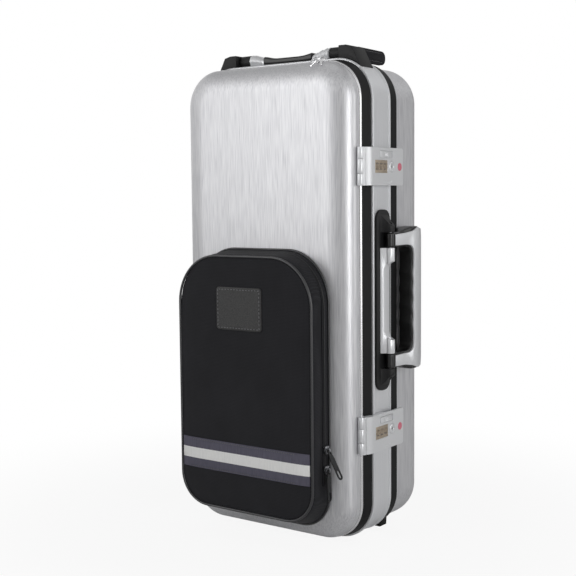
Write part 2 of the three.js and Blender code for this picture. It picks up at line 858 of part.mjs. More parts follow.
function handleSaddle() {
  const footX0 = sideX + 2 * seatGap + plateWall;
  const faceX = footX0 + saddleWall;
  const topX = pivotX + lugRadius;
  const knuckleLow = saddleReach - saddleKnuckle;
  const scoop = arc(topX, knuckleLow - saddleScoop, topX - faceX, 90, 180);
  const upper = [...scoop.reverse(), [topX, knuckleLow], [topX, saddleReach], [footX0, saddleReach]];
  const outline = [...upper, ...upper.map(([x, z]) => [x, -z]).reverse()];
  const side = prism("y", outline, -saddleHalfY, saddleHalfY);
  const plan = prism("z", knucklePlan(footX0, saddleHalfY), -saddleReach, saddleReach);
  return cut(plan.intersect(side), handleBore());
}

function handlePin(sign) {
  const ends = [saddleReach - saddleKnuckle, lugHigh - lugSlope].map((z) => [0, 0, sign * z]);
  return rod(handlePinRadius, ...ends);
}

// The side handle lies in its own plane, U outwards from the pivot, V square to it.
// Finger waves along the inside of its grip, moved outwards by a rim
function gripInside(rim) {
  const reach = (armLow - cornerInner) * gripWaveShare;
  const steps = 4 * gripBumps;
  const waves = Array.from({ length: steps + 1 }, (_, i) => {
    const turn = (i / steps) * gripBumps * 2 * Math.PI;
    return [gripInner + rim - (gripBump * (1 - Math.cos(turn))) / 2, reach - (2 * reach * i) / steps];
  });
  const corner = arc(0, 0, 1, 90, 0).map(([across, up]) => [
    gripInner - cornerInner + (cornerInner + rim) * across,
    armLow - cornerInner + (cornerInner + (rim ? facingMargin : 0)) * up,
  ]);
  return [...corner, ...waves, ...mirroredPath(corner)];
}

function mirroredPath(points) {
  return points.map(([u, z]) => [u, -z]).reverse();
}

// Seen along the pivot: the front of the facing's inside, moved in by a gap
function facingInside(gap) {
  const inset = facingWall + gap;
  const centreU = gripOuter - gripCrown - gripRound;
  return [
    [swellStart, -armFront + inset],
    [swellEnd, -gripFront + inset],
    ...arc(centreU, -gripFront + gripRound, gripRound - inset, -90, 0),
  ];
}

function handleCore() {
  const outside = [
    [0, armHigh],
    [earStart, armHigh],
    [(earStart + swellEnd) / 2, armHigh + earReach / 2],
    [swellEnd, earZ - gripRim / 2],
    [(swellEnd + gripOuter) / 2, earZ],
    [gripOuter, earZ - gripCrown],
  ];
  const outline = [
    ...outside, ...mirroredPath(outside), [0, -armLow], ...gripInside(0).reverse(), [0, armLow]];
  const seat = facingInside(seatGap);
  const outerU = seat.at(-1)[0];
  const backRound = gripRound - facingWall;
  const section = [
    [0, -armFront + facingWall + seatGap],
    ...seat,
    ...arc(outerU - backRound, gripBack - backRound, backRound, 0, 90),
    [swellEnd, gripBack],
    [swellStart, armBack],
    [0, armBack],
  ];
  const body = prism("y", outline, -gripFront, gripBack).intersect(prism("z", section, -earZ, earZ));
  const barrels = [-1, 1].map((sign) => rod(lugRadius, [0, 0, sign * armLow], [0, 0, sign * armHigh]));
  const reach = armHigh + cutOver;
  return cut(joined(body, ...barrels), rod(handlePinRadius + seatGap, [0, 0, -reach], [0, 0, reach]));
}

// Metal facing over the front of the core, wrapped round its outer edge
function handleFacing() {
  const outside = [
    [facingStart, armHigh - facingMargin],
    [swellStart, armHigh - facingMargin / 2],
    [swellEnd, armHigh + earReach / 6],
    [(swellEnd + gripOuter) / 2, earZ - gripRim],
    [gripOuter - gripRound, earZ - gripRim - gripCrown],
    [gripOuter - gripCrown, armLow],
    [gripOuter, 0],
  ];
  const startZ = armLow + facingMargin;
  const inside = [[facingStart, startZ], ...gripInside(gripRim), [facingStart, -startZ]];
  const outline = [...outside, ...mirroredPath(outside.slice(0, -1)), ...inside.reverse()];
  const section = [
    [facingStart, -armFront],
    [swellStart, -armFront],
    [swellEnd, -gripFront],
    ...arc(gripOuter - gripRound, -gripFront + gripRound, gripRound, -90, 0),
    [gripOuter, facingEnd],
    [facingInside(0).at(-1)[0], facingEnd],
    ...facingInside(0).reverse(),
    [facingStart, -armFront + facingWall],
  ];
  const body = prism("y", outline, -gripFront, gripBack).intersect(prism("z", section, -earZ, earZ));
  return cut(body, rod(lugRadius + seatGap, [0, 0, -earZ], [0, 0, earZ]));
}

// Handle at the top end: bracket on the frame, mirrored for the left
function bracket() {
  const centreX = sideX - cornerRadius;
  const dropZ = Math.sqrt(cornerRadius ** 2 - (bracketOuter - centreX) ** 2);
  const topZ = caseHeight + bracketRise;
  const outline = [
    [bracketInner, caseHeight - cornerRadius + dropZ],
    [bracketOuter, caseHeight - cornerRadius + dropZ],
    [bracketInner + bracketNose, topZ - bracketChamfer],
    [bracketInner + bracketTop, topZ],
    [bracketInner, topZ],
  ];
  const slot = block(
    bracketInner - cutOver, bracketInner + tenonReach + runGap, -tenonHalfY - runGap, tenonHalfY + runGap,
    caseHeight + tenonLow - runGap, caseHeight + tenonHigh + handleLift + runGap);
  const seat = loft([[seatGap, -frameDepth], [seatGap, frameDepth]].map(caseLoop), false);
  return cut(prism("y", outline, -bracketHalfY, bracketHalfY), slot, seat);
}

function barrel() {
  const outerX = bracketInner - runGap;
  const profile = [
    [0, barrelInner],
    [barrelRadius - barrelCrown, barrelInner],
    [barrelRadius, barrelInner + barrelCrown],
    [barrelRadius, outerX - barrelCrown],
    [barrelRadius - barrelCrown, outerX],
    [0, outerX],
  ].map(([radius, x]) => new THREE.Vector2(radius, x));
  const turned = new THREE.LatheGeometry(profile, roundSides).rotateZ(-Math.PI / 2);
  const tenon = block(
    outerX - cutOver, bracketInner + tenonReach, -tenonHalfY, tenonHalfY,
    caseHeight + tenonLow, caseHeight + tenonHigh);
  return joined(solidOf(turned).translate([0, 0, caseHeight + barrelRise]), tenon);
}

// Loops across the strap of the top handle, at places along X
const fullRoundShare = 0.999;

function strapLoop(x, halfY, lowZ, highZ) {
  const radius = Math.min(halfY, (highZ - lowZ) / 2) * fullRoundShare;
  return roundedRectangle(-halfY, halfY, lowZ, highZ, radius, radius, softSteps).map(([y, z]) => [x, y, z]);
}

const capStationShares = [0, 0.22, 0.26, 0.5, 0.54, 0.78, 0.82, 1];
const capGrooveShares = [0, 0, 1, 0, 1, 0, 1, 0];
const gripStationShares = [-1, -0.75, -0.5, -0.25, 0, 0.25, 0.5, 0.75, 1];
const gripSwellShares = [1, 0.32, 0.06, 0, 0, 0, 0.06, 0.32, 1];

function cap() {
  const lowZ = caseHeight + capFoot;
  const length = barrelInner - seatGap - capInner;
  const tallZ = caseHeight + barrelRise + barrelRadius;
  const loops = capStationShares.map((share, i) => {
    const rise = gripThick + (tallZ - lowZ - gripThick) * Math.sin((share * Math.PI) / 2);
    const groove = capGrooveShares[i] * barrelCrown;
    return strapLoop(capInner + length * share, capHalfY - groove, lowZ, lowZ + rise - groove);
  });
  return loft(loops, false);
}

function topGrip() {
  const reach = capInner - seatGap;
  const swellSpread = gripThick - gripThin - capFoot;
  const loops = gripStationShares.map((share, i) => {
    const swell = gripSwellShares[i];
    const lowZ = caseHeight + gripClear - (gripClear - 2 * capFoot) * swell;
    const highZ = lowZ + gripThin + swellSpread * swell;
    return strapLoop(reach * share, gripHalfY - 2 * barrelCrown * swell, lowZ, highZ);
  });
  return loft(loops, false);
}

// Padded strap end, on edge behind the right bracket
function strapEnd() {
  const startY = bracketHalfY + seatGap;
  const endY = startY + strapLength;
  const lowZ = caseHeight + strapLift;
  const radius = strapHeight / 2;
  const tip = arc(endY - radius, lowZ + radius - strapDroop, radius, -90, 90, arcSteps);
  const outline = [
    [startY, lowZ],
    [frameRearY + rearBandDepth / 2, lowZ],
    ...tip,
    [frameRearY + rearBandDepth / 2, lowZ + strapHeight],
    [startY, lowZ + strapHeight],
  ];
  const innerX = bracketInner + strapMargin;
  return prism("x", outline, innerX, innerX + strapWall);
}

// Pocket: a gusseted bag with a piped edge and a slightly crowned front
function pocketOutline(depthShare, inset) {
  const mix = (base, front) => base + (front - base) * depthShare;
  const half = mix(pocketBaseHalf, pocketHalf) - inset;
  const lowZ = mix(pocketBaseLowZ, pocketLowZ) + inset;
  const highZ = mix(pocketBaseHighZ, pocketHighZ) - inset;
  const low = Math.max(pocketLowRadius - inset, pipingRadius);
  const high = Math.max(pocketHighRadius - inset, pipingRadius);
  return roundedRectangle(-half, half, lowZ, highZ, low, high, cornerSteps);
}

const pocketBackY = frontFaceY - seatGap;
const pocketEdgeY = pocketBackY - pocketDepth;
const zipY = pocketBackY - zipSetback;
const zipShare = zipSetback / pocketDepth;

function pocketBag() {
  const edge = 2 * pipingRadius;
  const sections = [
    [0, 0, pocketBackY],
    [zipShare, 0, zipY],
    [1, 0, pocketEdgeY + 2 * edge],
    [1, edge / 4, pocketEdgeY + edge],
    [1, -edge / 4, pocketEdgeY + edge / 2],
    [1, edge / 4, pocketEdgeY],
    [1, edge, pocketEdgeY],
    [1, pocketLowRadius, pocketEdgeY - pocketCrown],
  ];
  const loops = sections.map(([share, inset, y]) => pocketOutline(share, inset).map(([x, z]) => [x, y, z]));
  return loft(loops, false);
}

function gusset(inset) {
  const ends = [[0, pocketBackY], [1, pocketEdgeY]];
  return loft(ends.map(([share, y]) => pocketOutline(share, inset).map(([x, z]) => [x, y, z])), false);
}

// Zip along the gusset, up one side, over the top and down the other
function zipTrack() {
  const startZ = pocketLowRadius + pocketBaseLowZ + zipWidth;
  const open = (inset) => pocketOutline(zipShare, inset).filter(([, z]) => z > startZ);
  const outer = open(-seatGap - zipRise);
  const inner = open(zipRise);
  const ends = (points) => [[points[0][0], zipLowZ], ...points, [points.at(-1)[0], zipLowZ]];
  const outline = [...ends(outer), ...ends(inner).reverse()];
  return cut(prism("y", outline, zipY - zipWidth / 2, zipY + zipWidth / 2), gusset(-seatGap));
}

function frontPanelY(x, z) {
  const reach = pocketHalf - pocketLowRadius;
  const outX = Math.max(Math.abs(x) - reach, 0);
  const outZ = Math.max(pocketLowZ + pocketLowRadius - z, 0);
  const share = Math.max(outX, outZ) / (pocketLowRadius - 2 * pipingRadius);
  return pocketEdgeY - pocketCrown * (1 - Math.min(share, 1));
}

function patch() {
  const backY = frontPanelY(0, patchLowZ) - seatGap;
  const outline = roundedRectangle(
    patchLeft, patchRight, patchLowZ, patchHighZ, pipingRadius, pipingRadius, softSteps);
  return prism("y", outline, backY - patchWall, backY);
}

// Reflective tape across the front panel, following its crown
function tape() {
  const half = pocketHalf - 2 * pipingRadius - tapeWall;
  const flat = pocketHalf - pocketLowRadius;
  const back = [-half, -flat, flat, half].map((x) => [x, frontPanelY(x, tapeLowZ) - seatGap]);
  const outline = [...back, ...back.map(([x, y]) => [x, y - tapeWall]).reverse()];
  return prism("z", outline, tapeLowZ, tapeHighZ);
}

// Zip slider at the origin of its own frame, with the loop that holds the pull
const sliderX = pocketBaseHalf + (pocketHalf - pocketBaseHalf) * zipShare + 2 * seatGap + zipRise;
const loopX = sliderX + sliderRise + loopRadius / 2;

function zipSlider() {
  const half = sliderHeight / 2;
  const wedge = [
    [zipY - sliderHalfY, half],
    [zipY - sliderHalfY, 0],
    [zipY - sliderHalfY / 2, -half],
    [zipY + sliderHalfY / 2, -half],
    [zipY + sliderHalfY, 0],
    [zipY + sliderHalfY, half],
  ];
  const body = prism("x", wedge, sliderX, sliderX + sliderRise);
  const loop = rod(loopRadius, [loopX, zipY - loopWall / 2, 0], [loopX, zipY + loopWall / 2, 0]);
  const bore = rod(loopBore, [loopX, zipY - loopWall, 0], [loopX, zipY + loopWall, 0]);
  const clear = rod(loopRadius, [loopX, zipY - sliderHalfY, 0], [loopX, zipY + sliderHalfY, 0]);
  return cut(joined(cut(body, clear), loop), bore);
}

// Pull hanging from the loop's bar, with an eye at its lower end
function zipPull() {
  const barHalf = pullBar / 2;
  const neckHalf = pullNeck / 2;
  const half = pullWidth / 2;
  const outline = [
    [-neckHalf, barHalf],
    [-neckHalf, -pullEye],
    [-half, -pullEye - half],
    ...arc(0, -pullLength + half, half, 180, 360),
    [half, -pullEye - half],
    [neckHalf, -pullEye],
    [neckHalf, barHalf],
  ];
  const slotHalf = loopWall / 2 + seatGap;
  const slotEnd = -pullEye + barHalf;
  const slot = [[-slotHalf, -barHalf], [-slotHalf, slotEnd], [slotHalf, slotEnd], [slotHalf, -barHalf]];
  const eyeHalf = half / 2;
  const eye = [
    ...arc(0, -pullLength + half, eyeHalf, 180, 360),
    ...arc(0, -pullLength + half + pullEye, eyeHalf, 0, 180),
  ];
  return prism("x", outline, -pullWall / 2, pullWall / 2, [slot, eye]);
}

// The finished case
const group = new THREE.Group();

function place(parent, name, solid, material) {
  const mesh = new THREE.Mesh(geometryOf(solid), material);
  mesh.name = name;
  parent.add(mesh);
  return mesh;
}

function groupAt(z) {
  const inner = new THREE.Group();
  inner.position.z = z;
  group.add(inner);
  return inner;
}

place(group, "base_frame", baseFrame(), satinMetal);
place(group, "rear_shell", rearShell(), brushedShell);
place(group, "rear_band", rearBand(), blackPlastic);
place(group, "base_liner", baseLiner(), plush);
place(group, "seal", seal(), blackRubber);
place(group, "end_foot_left", endFoot(-footX), blackRubber);
place(group, "end_foot_right", endFoot(footX), blackRubber);
place(group, "side_foot_lower", sideFoot(sideFootEnd), blackRubber);
place(group, "side_foot_upper", sideFoot(caseHeight - sideFootEnd), blackRubber);

place(group, "front_shell", frontShell(), brushedShell);
place(group, "lid_frame", lidFrame(), brightMetal);
place(group, "lid_band", lidBand(), blackPlastic);
place(group, "lid_liner", lidLiner(), plush);

for (const [level, z] of [["lower", hingeEnd], ["upper", hingeHighZ]]) {
  const hinge = groupAt(z);
  place(hinge, `${level}_hinge_base_leaf`, hingeBaseLeaf(), castMetal);
  place(hinge, `${level}_hinge_lid_leaf`, hingeLidLeaf(), castMetal);
  place(hinge, `${level}_hinge_pin`, hingePin(), steel);
}

for (const [level, z] of [["lower", latchLowZ], ["upper", latchHighZ]]) {
  const latch = groupAt(z);
  place(latch, `${level}_latch_hinge`, latchHinge(), castMetal);
  place(latch, `${level}_latch_pin`, latchPin(), steel);
  place(latch, `${level}_latch_cover`, latchCover(), castMetal);
  place(latch, `${level}_latch_key_plug`, keyPlug(), steel);
  place(latch, `${level}_latch_slider`, latchSlider(), castMetal);
  place(latch, `${level}_latch_keeper`, keeper(), steel);
  dialRow.forEach((y, i) => place(latch, `${level}_latch_dial_${i + 1}`, dial(y), brass));
}

const sideHandle = groupAt(handleZ);
place(sideHandle, "side_handle_plate", handlePlate(), blackPlastic);
place(sideHandle, "side_handle_saddle", handleSaddle(), castMetal);
const bail = new THREE.Group();
bail.position.x = pivotX;
bail.rotation.z = THREE.MathUtils.degToRad(handleAngle);
sideHandle.add(bail);
place(bail, "side_handle_core", handleCore(), blackRubber);
place(bail, "side_handle_facing", handleFacing(), castMetal);
place(bail, "side_handle_pin_lower", handlePin(-1), steel);
place(bail, "side_handle_pin_upper", handlePin(1), steel);

for (const [side, sign] of [["left", -1], ["right", 1]]) {
  const facing = (solid) => (sign < 0 ? solid.mirror([1, 0, 0]) : solid);
  place(group, `top_handle_bracket_${side}`, facing(bracket()), blackPlastic);
  place(group, `top_handle_barrel_${side}`, facing(barrel()), blackPlastic);
  place(group, `top_handle_cap_${side}`, facing(cap()), brightMetal);
}
place(group, "top_handle_grip", topGrip(), blackRubber);
place(group, "strap_end", strapEnd(), bagCloth);

place(group, "pocket_bag", pocketBag(), bagCloth);
place(group, "pocket_zip_track", zipTrack(), blackPlastic);
place(group, "pocket_patch", patch(), patchHide);
place(group, "pocket_tape", tape(), tapeCloth);

for (const [level, z, swing] of [["lower", sliderLowZ, restPullSwing], ["upper", sliderHighZ, pullSwing]]) {
  const runner = groupAt(z);
  place(runner, `zip_slider_${level}`, zipSlider(), steel);
  const pull = place(runner, `zip_pull_${level}`, zipPull(), steel);
  pull.position.set(loopX, zipY, 0);
  pull.rotation.y = -THREE.MathUtils.degToRad(swing);
}

export default group;
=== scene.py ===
# Trumpet case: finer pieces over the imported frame, in the photograph's light
import json
import math

import bmesh
import bpy
from mathutils import Matrix, Vector

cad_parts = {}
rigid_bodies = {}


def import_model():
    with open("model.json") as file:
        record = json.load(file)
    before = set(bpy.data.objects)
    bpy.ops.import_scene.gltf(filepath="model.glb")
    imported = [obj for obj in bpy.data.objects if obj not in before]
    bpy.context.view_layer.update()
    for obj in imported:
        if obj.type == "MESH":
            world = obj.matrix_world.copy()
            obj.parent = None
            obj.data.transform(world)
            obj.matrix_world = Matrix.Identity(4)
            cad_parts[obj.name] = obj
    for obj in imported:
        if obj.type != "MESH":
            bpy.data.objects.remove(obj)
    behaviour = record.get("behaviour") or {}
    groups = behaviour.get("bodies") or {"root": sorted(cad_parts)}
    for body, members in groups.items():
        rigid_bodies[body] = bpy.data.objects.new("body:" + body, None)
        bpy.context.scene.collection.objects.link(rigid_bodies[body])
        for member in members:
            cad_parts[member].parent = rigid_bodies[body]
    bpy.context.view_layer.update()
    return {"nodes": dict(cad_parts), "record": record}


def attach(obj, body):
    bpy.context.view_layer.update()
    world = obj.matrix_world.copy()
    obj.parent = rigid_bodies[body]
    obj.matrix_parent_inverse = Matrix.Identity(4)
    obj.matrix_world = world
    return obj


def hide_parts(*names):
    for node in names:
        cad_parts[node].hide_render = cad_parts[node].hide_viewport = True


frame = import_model()
mm = 0.001
tiny = 1e-6  # metres: places nearer than this are the same place
mergeGap = 1e-5  # metres: points nearer than this are merged
print("packed case loaded")


# Small tools for editing
def clearPick():
    if bpy.context.mode != "OBJECT":
        bpy.ops.object.mode_set(mode="OBJECT")
    bpy.ops.object.select_all(action="DESELECT")


def makeActive(piece):
    clearPick()
    piece.select_set(True)
    bpy.context.view_layer.objects.active = piece


def edit(piece):
    makeActive(piece)
    bpy.ops.object.mode_set(mode="EDIT")


def done():
    bpy.ops.object.mode_set(mode="OBJECT")


def fixPlace(piece):
    makeActive(piece)
    bpy.ops.object.transform_apply(location=True, rotation=True, scale=True)
    return piece


def pick(kind, test):
    bpy.ops.mesh.select_mode(type=kind)
    bpy.ops.mesh.select_all(action="DESELECT")
    mesh = bpy.context.edit_object.data
    work = bmesh.from_edit_mesh(mesh)
    parts = {"VERT": work.verts, "EDGE": work.edges, "FACE": work.faces}[kind]
    for part in parts:
        if test(part):
            part.select_set(True)
    work.select_flush_mode()
    bmesh.update_edit_mesh(mesh)


def runsAlong(axis):  # test for an edge that is parallel to one axis
    def test(edge):
        span = edge.verts[0].co - edge.verts[1].co
        return all((abs(span[i]) > mergeGap) == (i == axis) for i in range(3))
    return test


def roundEdges(test, radius, steps):
    pick("EDGE", test)
    bpy.ops.mesh.bevel(offset=radius * mm, segments=steps, affect="EDGES", clamp_overlap=False)


def sliceAcross(axis, place, **settings):  # a loop through the whole piece, square to one axis
    point, normal = Vector(), Vector()
    point[axis], normal[axis] = place * mm, 1
    bpy.ops.mesh.select_all(action="SELECT")
    bpy.ops.mesh.bisect(plane_co=point, plane_no=normal, **settings)


def insetRings(rings):  # each ring's width and height, on the faces that are picked
    for width, height in rings:
        bpy.ops.mesh.inset(thickness=width * mm, depth=height * mm)


def addBox(name, low, high):
    clearPick()
    bpy.ops.mesh.primitive_cube_add(size=1, location=[(a + b) / 2 * mm for a, b in zip(low, high)])
    piece = bpy.context.object
    piece.name = name
    piece.scale = [(b - a) * mm for a, b in zip(low, high)]
    return fixPlace(piece)


def addDrum(name, radius, start, end, sides=32):
    clearPick()
    a, b = Vector(start) * mm, Vector(end) * mm
    bpy.ops.mesh.primitive_cylinder_add(
        vertices=sides, radius=radius * mm, depth=(b - a).length, location=(a + b) / 2)
    piece = bpy.context.object
    piece.name = name
    piece.rotation_euler = (b - a).to_track_quat("Z", "Y").to_euler()
    return fixPlace(piece)


def useModifier(piece, kind, **settings):
    makeActive(piece)
    modifier = piece.modifiers.new(kind.title(), kind)
    for key, value in settings.items():
        setattr(modifier, key, value)
    bpy.ops.object.modifier_apply(modifier=modifier.name)


def cutAway(piece, *tools):
    for tool in tools:
        useModifier(piece, "BOOLEAN", operation="DIFFERENCE", object=tool, solver="EXACT")
        bpy.data.objects.remove(tool)


def thicken(piece, wall):
    useModifier(piece, "SOLIDIFY", thickness=wall * mm, offset=-1, use_even_offset=True)


def remeshRound(piece, voxel, rounds):  # one closed skin, rounded all over
    useModifier(piece, "REMESH", mode="VOXEL", voxel_size=voxel * mm, use_smooth_shade=True)
    useModifier(piece, "SMOOTH", factor=0.5, iterations=rounds)


def fuse(piece, *others):
    makeActive(piece)
    for other in others:
        other.select_set(True)
    bpy.ops.object.join()
    return piece


def copyPiece(piece, name, shift=(0, 0, 0)):
    twin = piece.copy()
    twin.data = piece.data.copy()
    twin.name = name
    bpy.context.scene.collection.objects.link(twin)
    twin.location = [v * mm for v in shift]
    return fixPlace(twin)


def smooth(piece, degrees=30):
    makeActive(piece)
    bpy.ops.object.shade_smooth_by_angle(angle=math.radians(degrees))


def soften(piece, width, steps=2, degrees=35):  # small rounding on every hard edge
    useModifier(piece, "BEVEL", width=width * mm, segments=steps, limit_method="ANGLE",
                angle_limit=math.radians(degrees), harden_normals=False)
    smooth(piece, 40)


def evenNormals(piece):
    useModifier(piece, "WEIGHTED_NORMAL", keep_sharp=True, weight=80)


def settle(piece, material, body, slot=None, *nodes):
    piece.data.materials.clear()
    piece.data.materials.append(material)
    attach(piece, body)
    if nodes:
        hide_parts(*nodes)
    return piece


def mergedCopy(node, name):  # a new piece with a node's form, left open for editing
    piece = bpy.data.objects.new(name, frame["nodes"][node].data.copy())
    bpy.context.scene.collection.objects.link(piece)
    edit(piece)
    bpy.ops.mesh.select_all(action="SELECT")
    bpy.ops.mesh.remove_doubles(threshold=mergeGap)
    return piece


def refineNode(node, name, width):  # for a node whose form is right: its hard edges rounded
    piece = mergedCopy(node, name)
    bpy.ops.mesh.dissolve_limited(angle_limit=math.radians(1))
    done()
    makeActive(piece)
    bpy.ops.mesh.customdata_custom_splitnormals_clear()
    soften(piece, width)
    return piece


# Small tools for materials
def hexColour(code):
    values = [int(code[i:i + 2], 16) / 255 for i in (0, 2, 4)]
    return [v / 12.92 if v <= 0.04045 else ((v + 0.055) / 1.055) ** 2.4 for v in values] + [1]


def addNode(tree, kind, settings=None, inputs=None):
    node = tree.nodes.new(kind)
    for name, value in (settings or {}).items():
        setattr(node, name, value)
    for name, value in (inputs or {}).items():
        if isinstance(value, bpy.types.NodeSocket):
            tree.links.new(value, node.inputs[name])
        else:
            node.inputs[name].default_value = value
    return node


def addMath(tree, operation, *values):
    inputs = dict(enumerate(values))
    return addNode(tree, "ShaderNodeMath", {"operation": operation}, inputs).outputs[0]


def addRange(tree, value, **limits):  # limits as fromMin, fromMax, toMin and toMax
    names = {"fromMin": "From Min", "fromMax": "From Max", "toMin": "To Min", "toMax": "To Max"}
    inputs = {names[key]: limit for key, limit in limits.items()}
    return addNode(tree, "ShaderNodeMapRange", None, {"Value": value, **inputs}).outputs[0]


def addMix(tree, fac, first, second):
    inputs = {0: fac, 6: first, 7: second}
    return addNode(tree, "ShaderNodeMix", {"data_type": "RGBA"}, inputs).outputs[2]


def startMaterial(name, **values):
    material = bpy.data.materials.new(name)
    material.use_nodes = True
    tree = material.node_tree
    shader = tree.nodes["Principled BSDF"]
    for key, value in values.items():
        shader.inputs[key].default_value = value
    place = addNode(tree, "ShaderNodeTexCoord").outputs["Object"]
    return material, tree, shader, place


def addRough(tree, shader, fac, low, high):
    tree.links.new(addRange(tree, fac, toMin=low, toMax=high), shader.inputs["Roughness"])


def addRelief(tree, shader, height, strength, depth):
    relief = addNode(tree, "ShaderNodeBump", None, {
        "Strength": strength, "Distance": depth, "Height": height})
    tree.links.new(relief.outputs[0], shader.inputs["Normal"])


# One pattern drives colour, roughness and a fine relief; the relief's depth is in metres
def surfacePattern(tree, shader, fac, colours, roughness, relief=0.0, depth=0.0001):
    tint = addMix(tree, fac, hexColour(colours[0]), hexColour(colours[1]))
    tree.links.new(tint, shader.inputs["Base Color"])
    addRough(tree, shader, fac, *roughness)
    if relief:
        addRelief(tree, shader, fac, relief, depth)


def noiseOf(tree, place, size, detail=3.0, stretch=(1, 1, 1)):  # size in mm
    scale = [1 / (size * mm * s) for s in stretch]
    spread = addNode(tree, "ShaderNodeMapping", None, {"Vector": place, "Scale": scale}).outputs[0]
    inputs = {"Vector": spread, "Scale": 1.0, "Detail": detail}
    return addNode(tree, "ShaderNodeTexNoise", None, inputs).outputs[0]


# ABS sheet faced with brushed silver film: long straight hairlines that blur what it mirrors.
# The hairlines are drawn coarser than the real ones, so that they show.
def brushedFilm():
    film = {"hairline": 0.85, "streak": 3.4, "length": 34, "streakShare": 0.2}
    material, tree, shader, place = startMaterial("brushedSilverFilm", Metallic=0.48)
    along = (1, 1, film["length"])
    fine = noiseOf(tree, place, film["hairline"], 1.6, along)
    wide = noiseOf(tree, place, film["streak"], 1.0, along)
    wide = addMath(tree, "MULTIPLY", wide, film["streakShare"])
    both = addMath(tree, "MULTIPLY_ADD", fine, 1 - film["streakShare"], wide)
    fac = addRange(tree, both, fromMin=0.3, fromMax=0.6)
    surfacePattern(tree, shader, fac, ("BABABE", "D5D5D7"), (0.41, 0.39), 0.05)
    return material


# Extruded aluminium, anodised satin: even and soft, with faint draw lines
def satinAluminium():
    material, tree, shader, place = startMaterial("satinAnodisedAluminium", Metallic=0.35)
    lines = noiseOf(tree, place, 1.2, 2.0, (60, 1, 60))
    surfacePattern(tree, shader, lines, ("D6D7DA", "E2E3E5"), (0.38, 0.3), 0.03)
    return material


# The same extrusion, polished bright on its narrow edge
def brightAluminium():
    material, tree, shader, place = startMaterial("polishedAluminium", Metallic=0.8)
    lines = noiseOf(tree, place, 1.0, 2.0, (80, 1, 80))
    surfacePattern(tree, shader, lines, ("E6E6E8", "F1F1F2"), (0.25, 0.18))
    return material


# Zinc casting under satin silver lacquer: tiny flakes, softly glossy
def lacqueredZinc():
    material, tree, shader, place = startMaterial("silverLacqueredZinc", Metallic=0.35)
    flakes = noiseOf(tree, place, 0.5, 2.0)
    surfacePattern(tree, shader, flakes, ("DADBDD", "E4E5E7"), (0.36, 0.3), 0.02)
    return material


# Nickel-plated steel: small turned and stamped parts, bright with a few rubbed spots
def nickelSteel():
    material, tree, shader, place = startMaterial("nickelPlatedSteel", Metallic=1.0)
    rubbed = noiseOf(tree, place, 3.0, 4.0)
    surfacePattern(tree, shader, rubbed, ("8F9094", "B0B1B4"), (0.36, 0.24))
    return material


# Brass plate, dull plated: warm beige with a soft sheen
def dullBrass():
    material, tree, shader, place = startMaterial("dullPlatedBrass", Metallic=0.45)
    worn = noiseOf(tree, place, 2.0, 4.0)
    surfacePattern(tree, shader, worn, ("97897A", "B5A896"), (0.5, 0.38))
    return material


# Moulded black plastic or rubber: fine spark-eroded grain, satin on flat runs
def mouldedBlack(name, dark, light, roughness, grain, gloss=0.3):
    material, tree, shader, place = startMaterial(name)
    shader.inputs["Specular IOR Level"].default_value = gloss
    pits = noiseOf(tree, place, grain, 2.0)
    surfacePattern(tree, shader, pits, (dark, light), roughness, 0.12, 0.00008)
    return material


# Woven nylon with a thin coating: crossing threads, drawn wide enough to show
def wovenNylon(name, dark, light, thread=1.6):
    waveLength = 0.314  # of the wave texture at a scale of 1
    material, tree, shader, place = startMaterial(name)
    shader.inputs["Specular IOR Level"].default_value = 0.2
    shader.inputs["Sheen Weight"].default_value = 0.05
    shader.inputs["Sheen Roughness"].default_value = 0.5
    waves = []
    for turn in ((0.0, 0.0, 0.0), (0.0, math.pi / 2, 0.0)):
        lay = addNode(tree, "ShaderNodeMapping", None, {"Vector": place, "Rotation": turn})
        wave = addNode(tree, "ShaderNodeTexWave", {"bands_direction": "X"}, {
            "Vector": lay.outputs[0], "Scale": waveLength / (thread * mm),
            "Distortion": 0.6, "Detail": 1.0})
        waves.append(wave.outputs[1])
    weave = addMath(tree, "MULTIPLY", *waves)
    cloud = noiseOf(tree, place, 40.0, 3.0)
    both = addMath(tree, "MULTIPLY_ADD", cloud, 0.6, weave)
    fac = addRange(tree, both, fromMax=1.4)
    surfacePattern(tree, shader, fac, (dark, light), (0.86, 0.7), 0.3, 0.0002)
    return material


# Artificial leather: embossed pebble grain, worn a little smooth on top
def pebbledLeather():
    pebble = 1.5  # mm across
    material, tree, shader, place = startMaterial("artificialLeather")
    scale = [1 / (pebble * mm)] * 3
    spread = addNode(tree, "ShaderNodeMapping", None, {"Vector": place, "Scale": scale})
    cells = addNode(tree, "ShaderNodeTexVoronoi", {"feature": "DISTANCE_TO_EDGE"}, {
        "Vector": spread.outputs[0], "Scale": 1.0})
    fac = addRange(tree, cells.outputs[0], fromMax=0.25)
    surfacePattern(tree, shader, fac, ("1E1E1E", "303030"), (0.62, 0.5), 0.4, 0.00015)
    return material


# Webbing with a strip of retroreflective beads sewn along its middle
def reflectiveWebbing():
    strip = {"z": 0.09695, "half": 0.0063}
    material, tree, shader, place = startMaterial("reflectiveWebbing")
    height = addNode(tree, "ShaderNodeSeparateXYZ", None, {0: place}).outputs[2]
    away = addMath(tree, "ABSOLUTE", addMath(tree, "SUBTRACT", height, strip["z"]))
    inStrip = addMath(tree, "LESS_THAN", away, strip["half"])
    ribs = noiseOf(tree, place, 1.4, 2.0, (1, 1, 8))
    cloth = addMix(tree, ribs, hexColour("454350"), hexColour("5A5867"))
    beads = addMix(tree, ribs, hexColour("DEDEDD"), hexColour("F2F2F0"))
    tree.links.new(addMix(tree, inStrip, cloth, beads), shader.inputs["Base Color"])
    addRough(tree, shader, inStrip, 0.75, 0.42)
    addRelief(tree, shader, ribs, 0.25, 0.0002)
    return material


